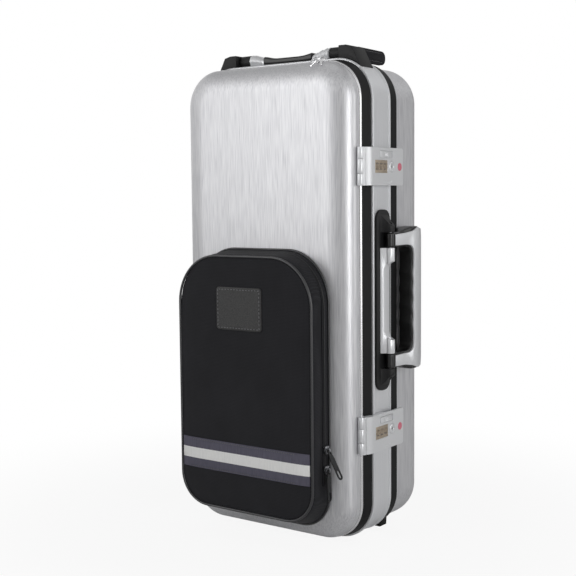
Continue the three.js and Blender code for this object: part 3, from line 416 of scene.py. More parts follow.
# Cut-pile plush over foam: dark, with a soft pale rim where the pile stands up
def cutPlush():
    material, tree, shader, place = startMaterial("cutPilePlush")
    shader.inputs["Sheen Weight"].default_value = 0.35
    shader.inputs["Sheen Roughness"].default_value = 0.4
    pile = noiseOf(tree, place, 2.2, 5.0)
    surfacePattern(tree, shader, pile, ("12141A", "252936"), (0.98, 0.9), 0.5, 0.0005)
    return material


# Red enamel spot, glossy over a slightly mottled fill
def redEnamel():
    material, tree, shader, place = startMaterial("redEnamel")
    shader.inputs["Coat Weight"].default_value = 0.4
    mottled = noiseOf(tree, place, 1.5, 3.0)
    surfacePattern(tree, shader, mottled, ("CC4E68", "DF8796"), (0.35, 0.28))
    return material


finishes = {
    "brushed": brushedFilm(),
    "satin": satinAluminium(),
    "bright": brightAluminium(),
    "zinc": lacqueredZinc(),
    "steel": nickelSteel(),
    "brass": dullBrass(),
    "band": mouldedBlack("mouldedPolypropylene", "0A0A0B", "111112", (0.55, 0.48), 0.7, 0.2),
    "nylon": mouldedBlack("glassFilledNylon", "131314", "1C1C1D", (0.58, 0.48), 0.9),
    "rubber": mouldedBlack("mouldedRubber", "0E0E0E", "151515", (0.8, 0.68), 0.8),
    "grip": mouldedBlack("softTouchGrip", "0D0D0D", "151515", (0.36, 0.28), 0.8, 0.5),
    "bag": wovenNylon("coatedNylonCloth", "17171A", "26262A"),
    # Piping: set lighter than the bag's cloth, partly the coated cord's own tone and partly painted
    # highlight for the light line along the pocket's edges
    "piping": mouldedBlack("coatedPipingPaintedHighlight", "1E1E20", "303033", (0.4, 0.32), 1.1, 0.7),
    "thread": mouldedBlack("sewingThread", "58585A", "7A7A7C", (0.8, 0.7), 0.5),
    "zipper": mouldedBlack("zipCoil", "101011", "2A2A2C", (0.5, 0.4), 1.2),
    "leather": pebbledLeather(),
    "tape": reflectiveWebbing(),
    "plush": cutPlush(),
    "enamel": redEnamel(),
}
print("materials made")

slotFinish = {
    "brushed_shell": "brushed", "satin_frame": "satin", "bright_strip": "bright",
    "black_band": "band", "plush": "plush", "seal_rubber": "rubber", "foot_rubber": "rubber",
    "grip_rubber": "grip", "cast_metal": "zinc", "steel": "steel", "dial_metal": "brass",
    "black_plastic": "nylon", "bright_plastic": "bright", "bag_cloth": "bag",
    "patch_leather": "leather", "tape_cloth": "tape", "zip_plastic": "zipper",
}
slotOf = {entry["node"]: entry["material_slot"] for entry in frame["record"]["subparts"]}
for node, slot in slotOf.items():
    for holder in frame["nodes"][node].material_slots:
        holder.material = finishes[slotFinish[slot]]


# Shells: a box with round corners whose face is rounded over, then made hollow
shell = {"half": 120.5, "low": 4.5, "high": 555.5, "corner": 43.5, "wall": 3}
frontShell = {**shell, "rim": -39.8, "straight": -44.8, "face": -64.5, "run": 32}
rearShell = {**shell, "rim": 19.8, "straight": 77.5, "face": 102.5, "run": 25}


def makeDish(name, s):
    away = 1 if s["face"] > s["rim"] else -1
    reach = s["straight"] + away * s["run"]
    low, high = sorted((s["rim"], reach))
    piece = addBox(name, (-s["half"], low, s["low"]), (s["half"], high, s["high"]))
    edit(piece)
    roundEdges(runsAlong(1), s["corner"], 18)
    roundEdges(lambda e: all(abs(v.co.y - reach * mm) < tiny for v in e.verts), s["run"], 12)
    squeeze = abs(s["face"] - s["straight"]) / s["run"]
    pick("VERT", lambda v: away * (v.co.y - s["straight"] * mm) > tiny)
    bpy.ops.transform.resize(value=(1, squeeze, 1), center_override=(0, s["straight"] * mm, 0))
    pick("FACE", lambda f: all(abs(v.co.y - s["rim"] * mm) < tiny for v in f.verts))
    bpy.ops.mesh.delete(type="FACE")
    done()
    thicken(piece, s["wall"])
    smooth(piece)
    evenNormals(piece)
    return piece


frontDish = makeDish("frontShellFine", frontShell)
settle(frontDish, finishes["brushed"], "lid", "brushed_shell", "front_shell")
rearDish = makeDish("rearShellFine", rearShell)
settle(rearDish, finishes["brushed"], "base", "brushed_shell", "rear_shell")
print("shells made")


# Bands: the case's outline as a ring, with a loop at each place where its section turns.
# Each place of a section is how far it stands out from the outline, and its depth.
outline = {"half": 125, "height": 560, "corner": 48}
skin = {"off": 0.12, "wall": 0.1}  # a smooth skin and how far it stands off the metal under it
frameSkin = [(0.4, -19.5), (1.0, -19.1), (1.2, -18.5), (1.2, -17.5), (0.9, -16.9), (0, -16.5),
             (0, 16.5), (0.9, 16.9), (1.2, 17.5), (1.2, 18.5), (1.0, 19.1), (0.4, 19.5)]
stripSkin = [(-4.5, -39.5), (-3.7, -39.1), (-3.2, -37.6), (-3.2, -36.5)]
lidBand = [(-3.6, -36.2), (-3.2, -35.7), (-2.1, -30), (-1.2, -24.5), (-0.8, -20.8), (-1.2, -19.8)]
rearBand = [(-1.7, 19.8), (-1.0, 20.3), (-0.8, 22), (-0.8, 34.5), (-1.0, 36.2), (-1.7, 36.8)]
bandWall = {"lid": 3.6, "rear": 2.6}


def makeBand(name, places, wall):
    first, last = places[0][1], places[-1][1]
    piece = addBox(name, (-outline["half"], first, 0), (outline["half"], last, outline["height"]))
    edit(piece)
    roundEdges(runsAlong(1), outline["corner"], 20)
    pick("FACE", lambda f: abs(f.normal.y) > 0.9)
    bpy.ops.mesh.delete(type="FACE")
    for _, y in places[1:-1]:
        sliceAcross(1, y)
    shifted = 0
    for offset, y in places:
        pick("VERT", lambda v: v.co.y > y * mm - tiny)
        bpy.ops.transform.shrink_fatten(value=(offset - shifted) * mm, use_even_offset=True)
        shifted = offset
    done()
    thicken(piece, wall)
    smooth(piece, 25)
    evenNormals(piece)
    return piece


def makeSkin(name, places):
    return makeBand(name, [(offset + skin["off"], y) for offset, y in places], skin["wall"])


settle(makeSkin("frameSkin", frameSkin), finishes["satin"], "base", "satin_frame")
settle(makeSkin("lidStripSkin", stripSkin), finishes["bright"], "lid", "bright_strip")
lidRing = makeBand("lidBandFine", lidBand, bandWall["lid"])
settle(lidRing, finishes["band"], "lid", "black_band", "lid_band")
rearRing = makeBand("rearBandFine", rearBand, bandWall["rear"])
settle(rearRing, finishes["band"], "base", "black_band", "rear_band")
print("bands made")


# Latches, modelled at the height 0 and copied to both heights
latch = {
    "heights": {"lower": 130, "upper": 436}, "half": 21.5, "face": 133, "under": 126.6, "skin": 1.6,
    "rear": 36, "corner": 3.2, "solidFront": -27.2,
    "noseStart": -30.5, "noseRise": 11.5, "noseLength": 17.3, "noseSweep": 42,
    "dials": (-20.9, -12.3, -3.7), "dialX": 130, "dialRadius": 3.2, "dialWidth": 5.6,
    "dialBore": 1.7, "boreReach": 5, "shaft": (1.3, -24.5, -0.2),
    "hinge": (125, -43.9), "barrel": 4.2, "barrelHalf": 8,
    "web": ((127.3, -43.4, -8), (129.1, -38.8, 8)),
    "windowCut": ((132.2, -25.8, -7.5), (134, 1.2, 7.5)), "dialCut": (3.1, 3.6),
    "plate": ((131.9, -25.5, -7.2), (132.7, 0.9, 7.2)), "plateCut": (2.9, 3.5),
    "cutLow": 120, "cutHigh": 134,
    "rounds": {"cover": 0.4, "barrel": 0.35, "plate": 0.2, "wheel": 0.15, "block": 0.3},
    "cuts": {  # in the cover, for the tab, the shallow shape, the stem, the bolt and to save metal
        "tab": ((131.4, -15.9, 9.8), (134, 12.4, 17.8)),
        "toe": ((132.5, -6.7, -17.8), (134, 9.5, -15.6)),
        "stem": ((130, 1.1, 10.4), (134, 10.4, 16)),
        "channel": ((126, -2.4, 8.1), (130.3, 37, 22)),
        "hollow": ((126, 22.4, -19.9), (131.4, 32.8, 8.1)),
    },
}
curl = {  # the rolled skin over the barrels, with its radius at each angle where it leaves the nose
    "gap": 0.02, "wall": 0.18, "seed": 0.01, "down": (82, 14), "up": (21, 6), "near": 1.2,
    "reach": {21: 5.3, 17.5: 5.04, 14: 4.83, 10.5: 4.66, 7: 4.53, 3.5: 4.44},
}
keyPlug = {
    "y": 10.4, "radius": 6, "play": 0.3, "x": (127, 133.2), "slot": (0.7, 2.8), "hole": 1.5,
    "holeFloor": 128.6, "rings": ((1.1, 0.35), (0.35, -0.75), (0.5, 0.2)), "round": 0.12,
}
release = {
    "tab": ((131.7, -15.5, 10.2), (133.3, 9.5, 17.4)), "grooves": (-5, -3, -1),
    "grooveHalf": 0.4, "grooveFloor": 133.0, "grooveZ": (11.6, 16),
    "stem": ((127.6, 1.5, 10.8), (131.9, 7.5, 15.6)),
    "bolt": ((126.8, -2, 10.8), (128.3, 11, 15.6)), "rounds": {"tab": 0.45, "bolt": 0.2},
}
spot = {"y": 28.2, "radius": 4.6, "play": 0.15, "bed": 0.5, "deep": 0.6,
        "crown": ((1.2, 0.15), (1.6, 0.1))}


def latchCover():
    s = latch
    cover = addBox("latchCover", (s["face"] - s["skin"], s["noseStart"], -s["half"]),
                   (s["face"], s["rear"], s["half"]))
    edit(cover)
    pick("FACE", lambda f: f.normal.y < -0.9)
    centre = ((s["face"] - s["noseRise"]) * mm, s["noseStart"] * mm, 0)
    bpy.ops.mesh.spin(steps=10, angle=math.radians(s["noseSweep"]), center=centre, axis=(0, 0, 1))
    pick("VERT", lambda v: v.co.y < s["noseStart"] * mm - tiny)
    bpy.ops.transform.resize(value=(1, s["noseLength"] / s["noseRise"], 1), center_override=centre)
    sliceAcross(1, s["solidFront"])
    pick("FACE", lambda f: f.normal.x < -0.9 and f.calc_center_median().y > s["solidFront"] * mm)
    drop = s["under"] - s["face"] + s["skin"]
    bpy.ops.mesh.extrude_region_move(TRANSFORM_OT_translate={"value": (drop * mm, 0, 0)})
    roundEdges(lambda e: runsAlong(0)(e) and e.verts[0].co.y > (s["rear"] - 1) * mm, s["corner"], 5)
    done()
    halfWide, halfHigh = s["dialCut"]
    low, high = s["cutLow"], s["cutHigh"]
    tools = [addBox("windowTool", *s["windowCut"])]
    for y in s["dials"]:
        tools.append(addBox("slotTool", (low, y - halfWide, -halfHigh),
                            (high, y + halfWide, halfHigh)))
    y, wide = keyPlug["y"], keyPlug["radius"] + keyPlug["play"]
    tools.append(addDrum("keyTool", wide, (low, y, 0), (high, y, 0), 48))
    y, bed = spot["y"], s["face"] - spot["bed"]
    tools.append(addDrum("spotTool", spot["radius"], (bed, y, 0), (high, y, 0), 48))
    tools += [addBox(name + "Tool", *corners) for name, corners in s["cuts"].items()]
    cutAway(cover, *tools)
    soften(cover, s["rounds"]["cover"], 2, 40)
    evenNormals(cover)
    x, y = s["hinge"]
    knuckle = addDrum("knuckle", s["barrel"], (x, y, -s["barrelHalf"]), (x, y, s["barrelHalf"]), 40)
    soften(knuckle, s["rounds"]["barrel"])
    web = addBox("web", *s["web"])
    radius, front, rear = s["shaft"]
    shaft = addDrum("shaft", radius, (s["dialX"], front, 0), (s["dialX"], rear, 0), 16)
    smooth(shaft)
    return fuse(cover, noseCurl(), knuckle, web, shaft)


def noseCurl():  # the cover's skin goes on round its row of barrels, so they look like one roll
    x, y = latch["hinge"]
    inner = latch["barrel"] + curl["gap"]
    outer = inner + curl["wall"]
    piece = addBox("curl", (x + inner, y - curl["seed"], -latch["half"]),
                   (x + outer, y + curl["seed"], latch["half"]))
    axis = Vector((x * mm, y * mm, 0))
    middle = (inner + outer) / 2 * mm
    edit(piece)
    for side, (sweep, steps) in ((-1, curl["down"]), (1, curl["up"])):
        pick("FACE", lambda f: f.normal.y * side > 0.9)
        angle = math.radians(side * sweep)
        bpy.ops.mesh.spin(steps=steps, angle=angle, center=axis, axis=(0, 0, 1))

    def isOutside(vert, turn):
        place = vert.co - axis
        around = math.degrees(math.atan2(place.y, place.x))
        return place.xy.length > middle and abs(around - turn) < curl["near"]
    for turn, reach in curl["reach"].items():
        pick("VERT", lambda v: isOutside(v, turn))
        bpy.ops.transform.resize(value=(reach / outer, reach / outer, 1), center_override=axis)
    done()
    evenNormals(piece)
    return piece


def windowPlate():  # brass, with a slot over each wheel
    s = latch
    plate = addBox("windowPlate", *s["plate"])
    halfWide, halfHigh = s["plateCut"]
    cutAway(plate, *[addBox("slotTool", (s["dialX"], y - halfWide, -halfHigh),
                            (s["cutHigh"], y + halfWide, halfHigh)) for y in s["dials"]])
    soften(plate, s["rounds"]["plate"])
    return plate


def numberWheel(y):  # with grooves for the finger round its rim
    groove = {"apart": 18, "wide": 9, "inset": 0.12, "deep": 0.35}
    x, half = latch["dialX"], latch["dialWidth"] / 2
    wheel = addDrum("numberWheel", latch["dialRadius"], (x, y - half, 0), (x, y + half, 0), 40)
    axis = Vector((x * mm, y * mm, 0))
    edit(wheel)

    def isGroove(face):
        if abs(face.normal.y) > 0.5:
            return False
        place = face.calc_center_median() - axis
        return math.degrees(math.atan2(place.z, place.x)) % groove["apart"] < groove["wide"]
    pick("FACE", isGroove)
    bpy.ops.mesh.inset(thickness=groove["inset"] * mm, depth=-groove["deep"] * mm,
                       use_individual=True)
    done()
    reach = latch["boreReach"]
    cutAway(wheel, addDrum("boreTool", latch["dialBore"], (x, y - reach, 0), (x, y + reach, 0), 20))
    soften(wheel, latch["rounds"]["wheel"], 1)
    return wheel


def keyPlugFine():  # a raised ring, a turned disc inside it and the keyhole
    s = keyPlug
    y, floor, top = s["y"], s["holeFloor"], latch["cutHigh"] + 1
    plug = addDrum("keyPlug", s["radius"], (s["x"][0], y, 0), (s["x"][1], y, 0), 48)
    edit(plug)
    pick("FACE", lambda f: f.normal.x > 0.9)
    insetRings(s["rings"])
    done()
    halfWide, halfHigh = s["slot"]
    slot = addBox("slotTool", (floor, y - halfWide, -halfHigh), (top, y + halfWide, halfHigh))
    cutAway(plug, slot, addDrum("holeTool", s["hole"], (floor, y, 0), (top, y, 0), 24))
    soften(plug, s["round"], 1)
    return plug


def releaseTab():  # three finger grooves on the tab, its stem and the bolt under the cover
    s = release
    low, high = s["grooveZ"]
    half, top = s["grooveHalf"], latch["cutHigh"] + 1
    tab = addBox("releaseTab", *s["tab"])
    cutAway(tab, *[addBox("gripTool", (s["grooveFloor"], y - half, low), (top, y + half, high))
                   for y in s["grooves"]])
    soften(tab, s["rounds"]["tab"])
    stem = addBox("stem", *s["stem"])
    bolt = addBox("bolt", *s["bolt"])
    soften(bolt, s["rounds"]["bolt"], 1)
    return fuse(tab, stem, bolt)


def enamelSpot():  # slightly crowned, sunk in the cover
    y, face = spot["y"], latch["face"]
    piece = addDrum("enamelSpot", spot["radius"] - spot["play"],
                    (face - spot["deep"], y, 0), (face, y, 0), 40)
    edit(piece)
    pick("FACE", lambda f: f.normal.x > 0.9)
    insetRings(spot["crown"])
    done()
    smooth(piece, 60)
    return piece


latchParts = {
    "cover": (latchCover(), "zinc", "latch", "cast_metal", "latch_cover"),
    "plate": (windowPlate(), "brass", "latch", "dial_metal", None),
    "key": (keyPlugFine(), "zinc", "key_plug", "steel", "latch_key_plug"),
    "tab": (releaseTab(), "zinc", "slider", "cast_metal", "latch_slider"),
    "spot": (enamelSpot(), "enamel", "latch", None, None),
}
for index, dialY in enumerate(latch["dials"], 1):
    latchParts[f"wheel{index}"] = (
        numberWheel(dialY), "brass", f"dial_{index}", "dial_metal", f"latch_dial_{index}")
for level, z in latch["heights"].items():
    for label, (model, finish, body, slot, node) in latchParts.items():
        twin = copyPiece(model, f"{level}Latch{label.title()}", (0, 0, z))
        nodes = [f"{level}_{node}"] if node else []
        settle(twin, finishes[finish], f"{level}_{body}", slot, *nodes)
    block = refineNode(f"{level}_latch_hinge", f"{level}LatchBlock", latch["rounds"]["block"])
    settle(block, finishes["zinc"], "lid", "cast_metal", f"{level}_latch_hinge")
for model, *_ in latchParts.values():
    bpy.data.objects.remove(model)
print("latches made")


# Hinges, feet, zip pulls and the hard parts of both handles: body, finish and rounding
refined = {
    "side_handle_plate": ("base", "nylon", 1.0),
    "side_handle_saddle": ("base", "zinc", 0.8),
    "side_handle_facing": ("side_handle", "zinc", 0.9),
    "top_handle_bracket_left": ("base", "nylon", 1.0),
    "top_handle_bracket_right": ("base", "nylon", 1.0),
    "top_handle_cap_left": ("top_handle", "zinc", 0.25),
    "top_handle_cap_right": ("top_handle", "zinc", 0.25),
    "top_handle_barrel_left": ("top_handle", "nylon", 0.3),
    "top_handle_barrel_right": ("top_handle", "nylon", 0.3),
    "end_foot_left": ("base", "rubber", 0.8),
    "end_foot_right": ("base", "rubber", 0.8),
    "side_foot_lower": ("base", "rubber", 0.8),
    "side_foot_upper": ("base", "rubber", 0.8),
    "zip_slider_lower": ("lower_zip_slider", "steel", 0.3),
    "zip_slider_upper": ("upper_zip_slider", "steel", 0.3),
    "zip_pull_lower": ("lower_zip_pull", "zipper", 0.3),
    "zip_pull_upper": ("upper_zip_pull", "zipper", 0.3),
    "lower_hinge_base_leaf": ("base", "zinc", 0.25),
    "upper_hinge_base_leaf": ("base", "zinc", 0.25),
    "lower_hinge_lid_leaf": ("lid", "zinc", 0.25),
    "upper_hinge_lid_leaf": ("lid", "zinc", 0.25),
}
for node, (body, finish, width) in refined.items():
    settle(refineNode(node, node + "_fine", width), finishes[finish], body, slotOf[node], node)
print("fittings made")


# Cross-slotted screws in the hinge leaves, each found on the leaf's surface by a ray from inside
screw = {
    "radius": 2.2, "sunk": 0.6, "rise": 0.5, "slot": (1.5, 0.27), "slotFloor": 0.1, "round": 0.18,
    "heights": {"lower": 112, "upper": 448}, "rows": {"lid": -31, "base": 0.5}, "apart": 17,
    "rayStart": -200,
}


def screwHead():
    s = screw
    head = addDrum("screwHead", s["radius"], (0, 0, -s["sunk"]), (0, 0, s["rise"]), 24)
    long, thin = s["slot"]
    for x, y in ((long, thin), (thin, long)):
        cutAway(head, addBox("slotTool", (-x, -y, s["slotFloor"]), (x, y, 1)))
    soften(head, s["round"], 1)
    return head


modelScrew = screwHead()
for level, z in screw["heights"].items():
    for half, y in screw["rows"].items():
        leaf = bpy.data.objects[f"{level}_hinge_{half}_leaf_fine"]
        heads = []
        for side in (-1, 1):
            start = Vector((screw["rayStart"], y, z + side * screw["apart"])) * mm
            _, seat, outward, _ = leaf.ray_cast(start, Vector((1, 0, 0)))
            twin = copyPiece(modelScrew, f"{level}{half.title()}Screws")
            twin.rotation_euler = outward.to_track_quat("Z", "Y").to_euler()
            twin.location = seat
            heads.append(fixPlace(twin))
        settle(fuse(*heads), finishes["steel"], half)
bpy.data.objects.remove(modelScrew)
print("screws made")


# Grip at the top end: a soft strip that thickens towards its caps, by the factors in flare
topGrip = {
    "half": (35.5, 10.7), "z": (562.5, 569.1), "round": 2.4, "edge": 0.8, "last": 34.4,
    "flare": {-34.4: 1.5, -30: 1.4, -24: 1.16, -16: 1.04, 16: 1.02, 24: 1.1, 30: 1.25, 34.4: 1.4},
}


def topStrip():
    s = topGrip
    halfX, halfY = s["half"]
    low, high = s["z"]
    strip = addBox("topGripFine", (-halfX, -halfY, low), (halfX, halfY, high))
    edit(strip)
    roundEdges(runsAlong(0), s["round"], 5)
    for x in s["flare"]:
        sliceAcross(0, x)
    for x, factor in s["flare"].items():
        isLast = abs(x) == s["last"]  # its factor holds to the strip's end
        pick("VERT", lambda v: abs(v.co.x - x * mm) < tiny
             or isLast and v.co.x * x > 0 and abs(v.co.x) > (s["last"] + 0.6) * mm)
        bpy.ops.transform.resize(value=(1, 1, factor), center_override=(0, 0, low * mm))
    done()
    soften(strip, s["edge"], 2, 60)
    return strip


settle(topStrip(), finishes["grip"], "top_handle", "grip_rubber", "top_handle_grip")

# The side handle's grip: soft rubber moulded over the core
sideGrip = {"voxel": 1.1, "rounds": 7}
gripRubber = mergedCopy("side_handle_core", "sideGripFine")
done()
remeshRound(gripRubber, sideGrip["voxel"], sideGrip["rounds"])
smooth(gripRubber, 60)
settle(gripRubber, finishes["grip"], "side_handle", "grip_rubber", "side_handle_core")
print("handles made")


# Two small keys on split rings, lying over the lid's top edge
keyRing = {
    "ring": (74, -43.5, 557.4), "radius": 5, "wire": 0.6, "head": 4.4, "eye": (1.7, -1.6),
    "shank": (3, 12.9), "thick": 1.1, "half": 1.5, "bites": (6, 8.4, 10.8), "bite": (1.2, 0.9),
    "rounds": {"head": 0.25, "shank": 0.15},
    "rings": {"splitRing": ((0, 0, 0), (10, 0)), "smallRing": ((-6, -5.4, -1.2), (38, 0.3))},
    "keys": {"keyOne": ((-2.8, -5, 0.4), (0, 0.72, -2.2)),
             "keyTwo": ((2.7, -5.2, 0.2), (0, 0.66, -1.1))},
}


def flatKey():  # lies in the x-y plane, its head round the origin
    s = keyRing
    half, inner = s["thick"] / 2, s["thick"] * 0.4
    head = addDrum("flatKey", s["head"], (0, 0, -half), (0, 0, half), 28)
    radius, x = s["eye"]
    cutAway(head, addDrum("eyeTool", radius, (x, 0, -3), (x, 0, 3), 20))
    soften(head, s["rounds"]["head"])
    start, end = s["shank"]
    shank = addBox("shank", (start, -s["half"], -inner), (end, s["half"], inner))
    wide, depth = s["bite"]
    cutAway(shank, *[addBox("biteTool", (x, -2.2, -2), (x + wide, -depth, 2)) for x in s["bites"]])
    soften(shank, s["rounds"]["shank"], 1)
    return fuse(head, shank)


def nearRing(shift):
    return [a + b for a, b in zip(keyRing["ring"], shift)]


def splitRing(name, shift, tilt, turn):
    clearPick()
    bpy.ops.mesh.primitive_torus_add(
        major_radius=keyRing["radius"] * mm, minor_radius=keyRing["wire"] * mm,
        major_segments=40, minor_segments=10)
    ring = bpy.context.object
    ring.name = name
    ring.rotation_euler = (math.radians(tilt), 0, turn)
    ring.location = [v * mm for v in nearRing(shift)]
    smooth(fixPlace(ring), 60)
    return ring


modelKey = flatKey()
keySet = [splitRing(name, shift, *turns) for name, (shift, turns) in keyRing["rings"].items()]
for name, (shift, turn) in keyRing["keys"].items():
    twin = copyPiece(modelKey, name)
    twin.rotation_euler = turn
    twin.location = [v * mm for v in nearRing(shift)]
    keySet.append(fixPlace(twin))
bpy.data.objects.remove(modelKey)
settle(fuse(*keySet), finishes["bright"], "lid")
print("keys made")


# Padded strap end, quilted by three rings on each side and drooping a little at its free end
strap = {
    "x": (79.5, 85.5), "y": (14.6, 74.6), "z": (560.6, 577), "radius": 7.6, "edge": 0.5,
    "quilt": ((1.6, 0.9), (1.4, -0.5), (1.6, 0.5)), "droopFrom": 36, "droop": 0.6,
    "seamX": (78.9, 86.1), "seamY": (18, 67),
    "seams": {"strapSeamTop": (574.0, 573.4), "strapSeamLow": (563.6, 563.0)},
}


def sewnRow(name, start, end, spacing=3.4, length=2.2, thick=0.55):  # stitches between two points
    a, b = Vector(start) * mm, Vector(end) * mm
    count = max(int((b - a).length / (spacing * mm)), 1)
    dash = addBox(name, (-length / 2, -thick / 2, -thick / 2), (length / 2, thick / 2, thick / 2))
    soften(dash, thick * 0.3, 1)
    useModifier(dash, "ARRAY", count=count, use_relative_offset=False, use_constant_offset=True,
                constant_offset_displace=((b - a).length / count, 0, 0))
    dash.location = a + (b - a).normalized() * length / 2 * mm
    dash.rotation_euler = (b - a).to_track_quat("X", "Z").to_euler()
    return fixPlace(dash)


def paddedStrap():
    s = strap
    pad = addBox("strapEndPad", *zip(s["x"], s["y"], s["z"]))
    edit(pad)
    roundEdges(lambda e: runsAlong(0)(e) and e.verts[0].co.y > (s["y"][1] - 1) * mm, s["radius"], 8)
    pick("FACE", lambda f: abs(f.normal.x) > 0.9)
    insetRings(s["quilt"])
    pick("VERT", lambda v: v.co.y > s["droopFrom"] * mm)
    bpy.ops.transform.translate(value=(0, 0, -s["droop"] * mm))
    done()
    soften(pad, s["edge"], 2, 25)
    return pad


strapPad = paddedStrap()
settle(strapPad, finishes["bag"], "base", "bag_cloth", "strap_end")
seamStart, seamEnd = strap["seamY"]
stitchRows = [sewnRow(name, (x, seamStart, z0), (x, seamEnd, z1))
              for x in strap["seamX"] for name, (z0, z1) in strap["seams"].items()]
settle(fuse(*stitchRows), finishes["thread"], "base", "bag_cloth")
print("strap end made")


# Pocket: a bag with a crowned front, whose gusset is longer and narrower where it meets the shell
pocket = {
    "half": 97, "low": 34, "high": 335, "topRadius": 57, "lowRadius": 38,
    "edge": -101.2, "back": -64.9, "backHalf": 95, "backHeight": 319, "backDrop": 3,
    "rings": (-70, -78, -92), "bulge": (-92, 0.5),
    "crown": ((3.5, 0.2), (6, 1.2), (12, 1.2), (20, 0.6)), "voxel": 2.6, "rounds": 3,
    "looseFrom": -70, "looseOver": 20, "foldSize": 70, "foldDepth": 2.2,
}
cords = {  # inset from the outline, depth, radius and share of the spread at that depth
    "pocketPiping": (0.5, -101.3, 1.5, 0), "pocketHem": (-0.8, -66.6, 1.3, 0.95),
}


def pocketOutline(name, inset, front, back):  # a block with the pocket's outline
    s = pocket
    block = addBox(name, (-s["half"] + inset, front, s["low"] + inset),
                   (s["half"] - inset, back, s["high"] - inset))
    middle = (s["low"] + s["high"]) / 2 * mm
    edit(block)
    roundEdges(lambda e: runsAlong(1)(e) and e.verts[0].co.z > middle, s["topRadius"] - inset, 18)
    roundEdges(lambda e: runsAlong(1)(e) and e.verts[0].co.z < middle, s["lowRadius"] - inset, 12)
    return block


def spreadBack(y, share):  # share 0 has the size of the front, and share 1 that at the shell
    s = pocket
    across = 1 - share * (s["half"] - s["backHalf"]) / s["half"]
    upright = 1 + share * (s["backHeight"] / (s["high"] - s["low"]) - 1)
    middle = (s["low"] + s["high"]) / 2
    pick("VERT", lambda v: abs(v.co.y - y * mm) < tiny)
    bpy.ops.transform.resize(value=(across, 1, upright), center_override=(0, y * mm, middle * mm))
    bpy.ops.transform.translate(value=(0, 0, -s["backDrop"] * share * mm))


def pocketBody():
    s = pocket
    bag = pocketOutline("pocketBagFine", 0, s["edge"], s["back"])
    for y in s["rings"]:
        sliceAcross(1, y)
    for y in (s["back"], *s["rings"]):
        spreadBack(y, (y - s["edge"]) / (s["back"] - s["edge"]))
    y, out = s["bulge"]
    pick("VERT", lambda v: abs(v.co.y - y * mm) < tiny)
    bpy.ops.transform.shrink_fatten(value=out * mm, use_even_offset=True)
    pick("FACE", lambda f: f.normal.y < -0.9)
    insetRings(s["crown"])
    done()
    remeshRound(bag, s["voxel"], s["rounds"])
    group = bag.vertex_groups.new(name="loose")
    for v in bag.data.vertices:
        loose = min(1, max(0, (s["looseFrom"] * mm - v.co.y) / (s["looseOver"] * mm)))
        group.add([v.index], loose, "REPLACE")
    folds = bpy.data.textures.new("clothFolds", "CLOUDS")
    folds.noise_scale = s["foldSize"] * mm
    useModifier(bag, "DISPLACE", texture=folds, strength=s["foldDepth"] * mm, mid_level=0.5,
                vertex_group="loose", texture_coords="LOCAL")
    smooth(bag, 60)
    return bag


def cordLoop(name, inset, y, radius, share):  # a cord sewn round the pocket's outline
    loop = pocketOutline(name, inset, y, y + 4)
    pick("VERT", lambda v: v.co.y > (y + 2) * mm)
    bpy.ops.mesh.delete(type="VERT")
    spreadBack(y, share)
    bpy.ops.mesh.select_all(action="SELECT")
    bpy.ops.mesh.delete(type="ONLY_FACE")
    done()
    makeActive(loop)
    bpy.ops.object.convert(target="CURVE")
    loop = bpy.context.object
    loop.data.bevel_depth = radius * mm
    loop.data.bevel_resolution = 3
    bpy.ops.object.convert(target="MESH")
    smooth(bpy.context.object, 60)
    return bpy.context.object


bag = pocketBody()
settle(bag, finishes["bag"], "lid", "bag_cloth", "pocket_bag")
# The piping and hem cords take the piping finish, whose lighter grey is partly painted highlight
for name, sizes in cords.items():
    settle(cordLoop(name, *sizes), finishes["piping"], "lid", "bag_cloth")
print("pocket body made")


# Zip: woven tape with a coil down its middle, open at the bottom
zipLine = {"y": -78, "low": 76, "half": 3, "thick": 0.9, "tapeOut": 0.5, "shares": (0.28, 0.44),
           "coil": 1.0, "coilOut": 0.8, "share": 0.36}


def trimBelow(piece, z):
    edit(piece)
    sliceAcross(2, z, clear_inner=True, use_fill=True)
    done()


def zipTape():
    s = zipLine
    edges = (s["y"] - s["half"], s["y"] + s["half"])
    tape = pocketOutline("zipTape", -s["tapeOut"], *edges)
    pick("FACE", lambda f: abs(f.normal.y) > 0.9)
    bpy.ops.mesh.delete(type="FACE")
    for y, share in zip(edges, s["shares"]):
        spreadBack(y, share)
    done()
    thicken(tape, s["thick"])
    trimBelow(tape, s["low"])
    smooth(tape)
    return tape


settle(zipTape(), finishes["bag"], "lid", "zip_plastic", "pocket_zip_track")
coil = cordLoop("zipCoil", -zipLine["coilOut"], zipLine["y"], zipLine["coil"], zipLine["share"])
trimBelow(coil, zipLine["low"])
smooth(coil, 60)
settle(coil, finishes["zipper"], "lid", "zip_plastic")
print("zip made")


# Patch, sewn on along all four sides
patch = {
    "x": (-36, 30), "y": (-105.6, -103.2), "z": (249, 299), "corner": 4,
    "rings": ((1, 0.7), (1, 0), (0.4, -0.15), (0.5, 0.15)), "seamIn": 2.7, "seamUp": 0.78,
    "stitch": (4.2, 2.6, 0.9),
}


def leatherPatch():
    s = patch
    piece = addBox("leatherPatch", *zip(s["x"], s["y"], s["z"]))
    edit(piece)
    roundEdges(runsAlong(1), s["corner"], 5)
    pick("FACE", lambda f: f.normal.y < -0.9)
    insetRings(s["rings"])
    done()
    smooth(piece, 40)
    evenNormals(piece)
    return piece


def patchSeam():
    s = patch
    (x0, x1), (z0, z1) = [(low + s["seamIn"], high - s["seamIn"]) for low, high in (s["x"], s["z"])]
    y = s["y"][0] - s["seamUp"]
    corners = [(x0, y, z0), (x1, y, z0), (x1, y, z1), (x0, y, z1)]
    sides = zip(corners, corners[1:] + corners[:1])
    return fuse(*[sewnRow("patchSeam", a, b, *s["stitch"]) for a, b in sides])


settle(leatherPatch(), finishes["leather"], "lid", "patch_leather", "pocket_patch")
settle(patchSeam(), finishes["thread"], "lid", "patch_leather")


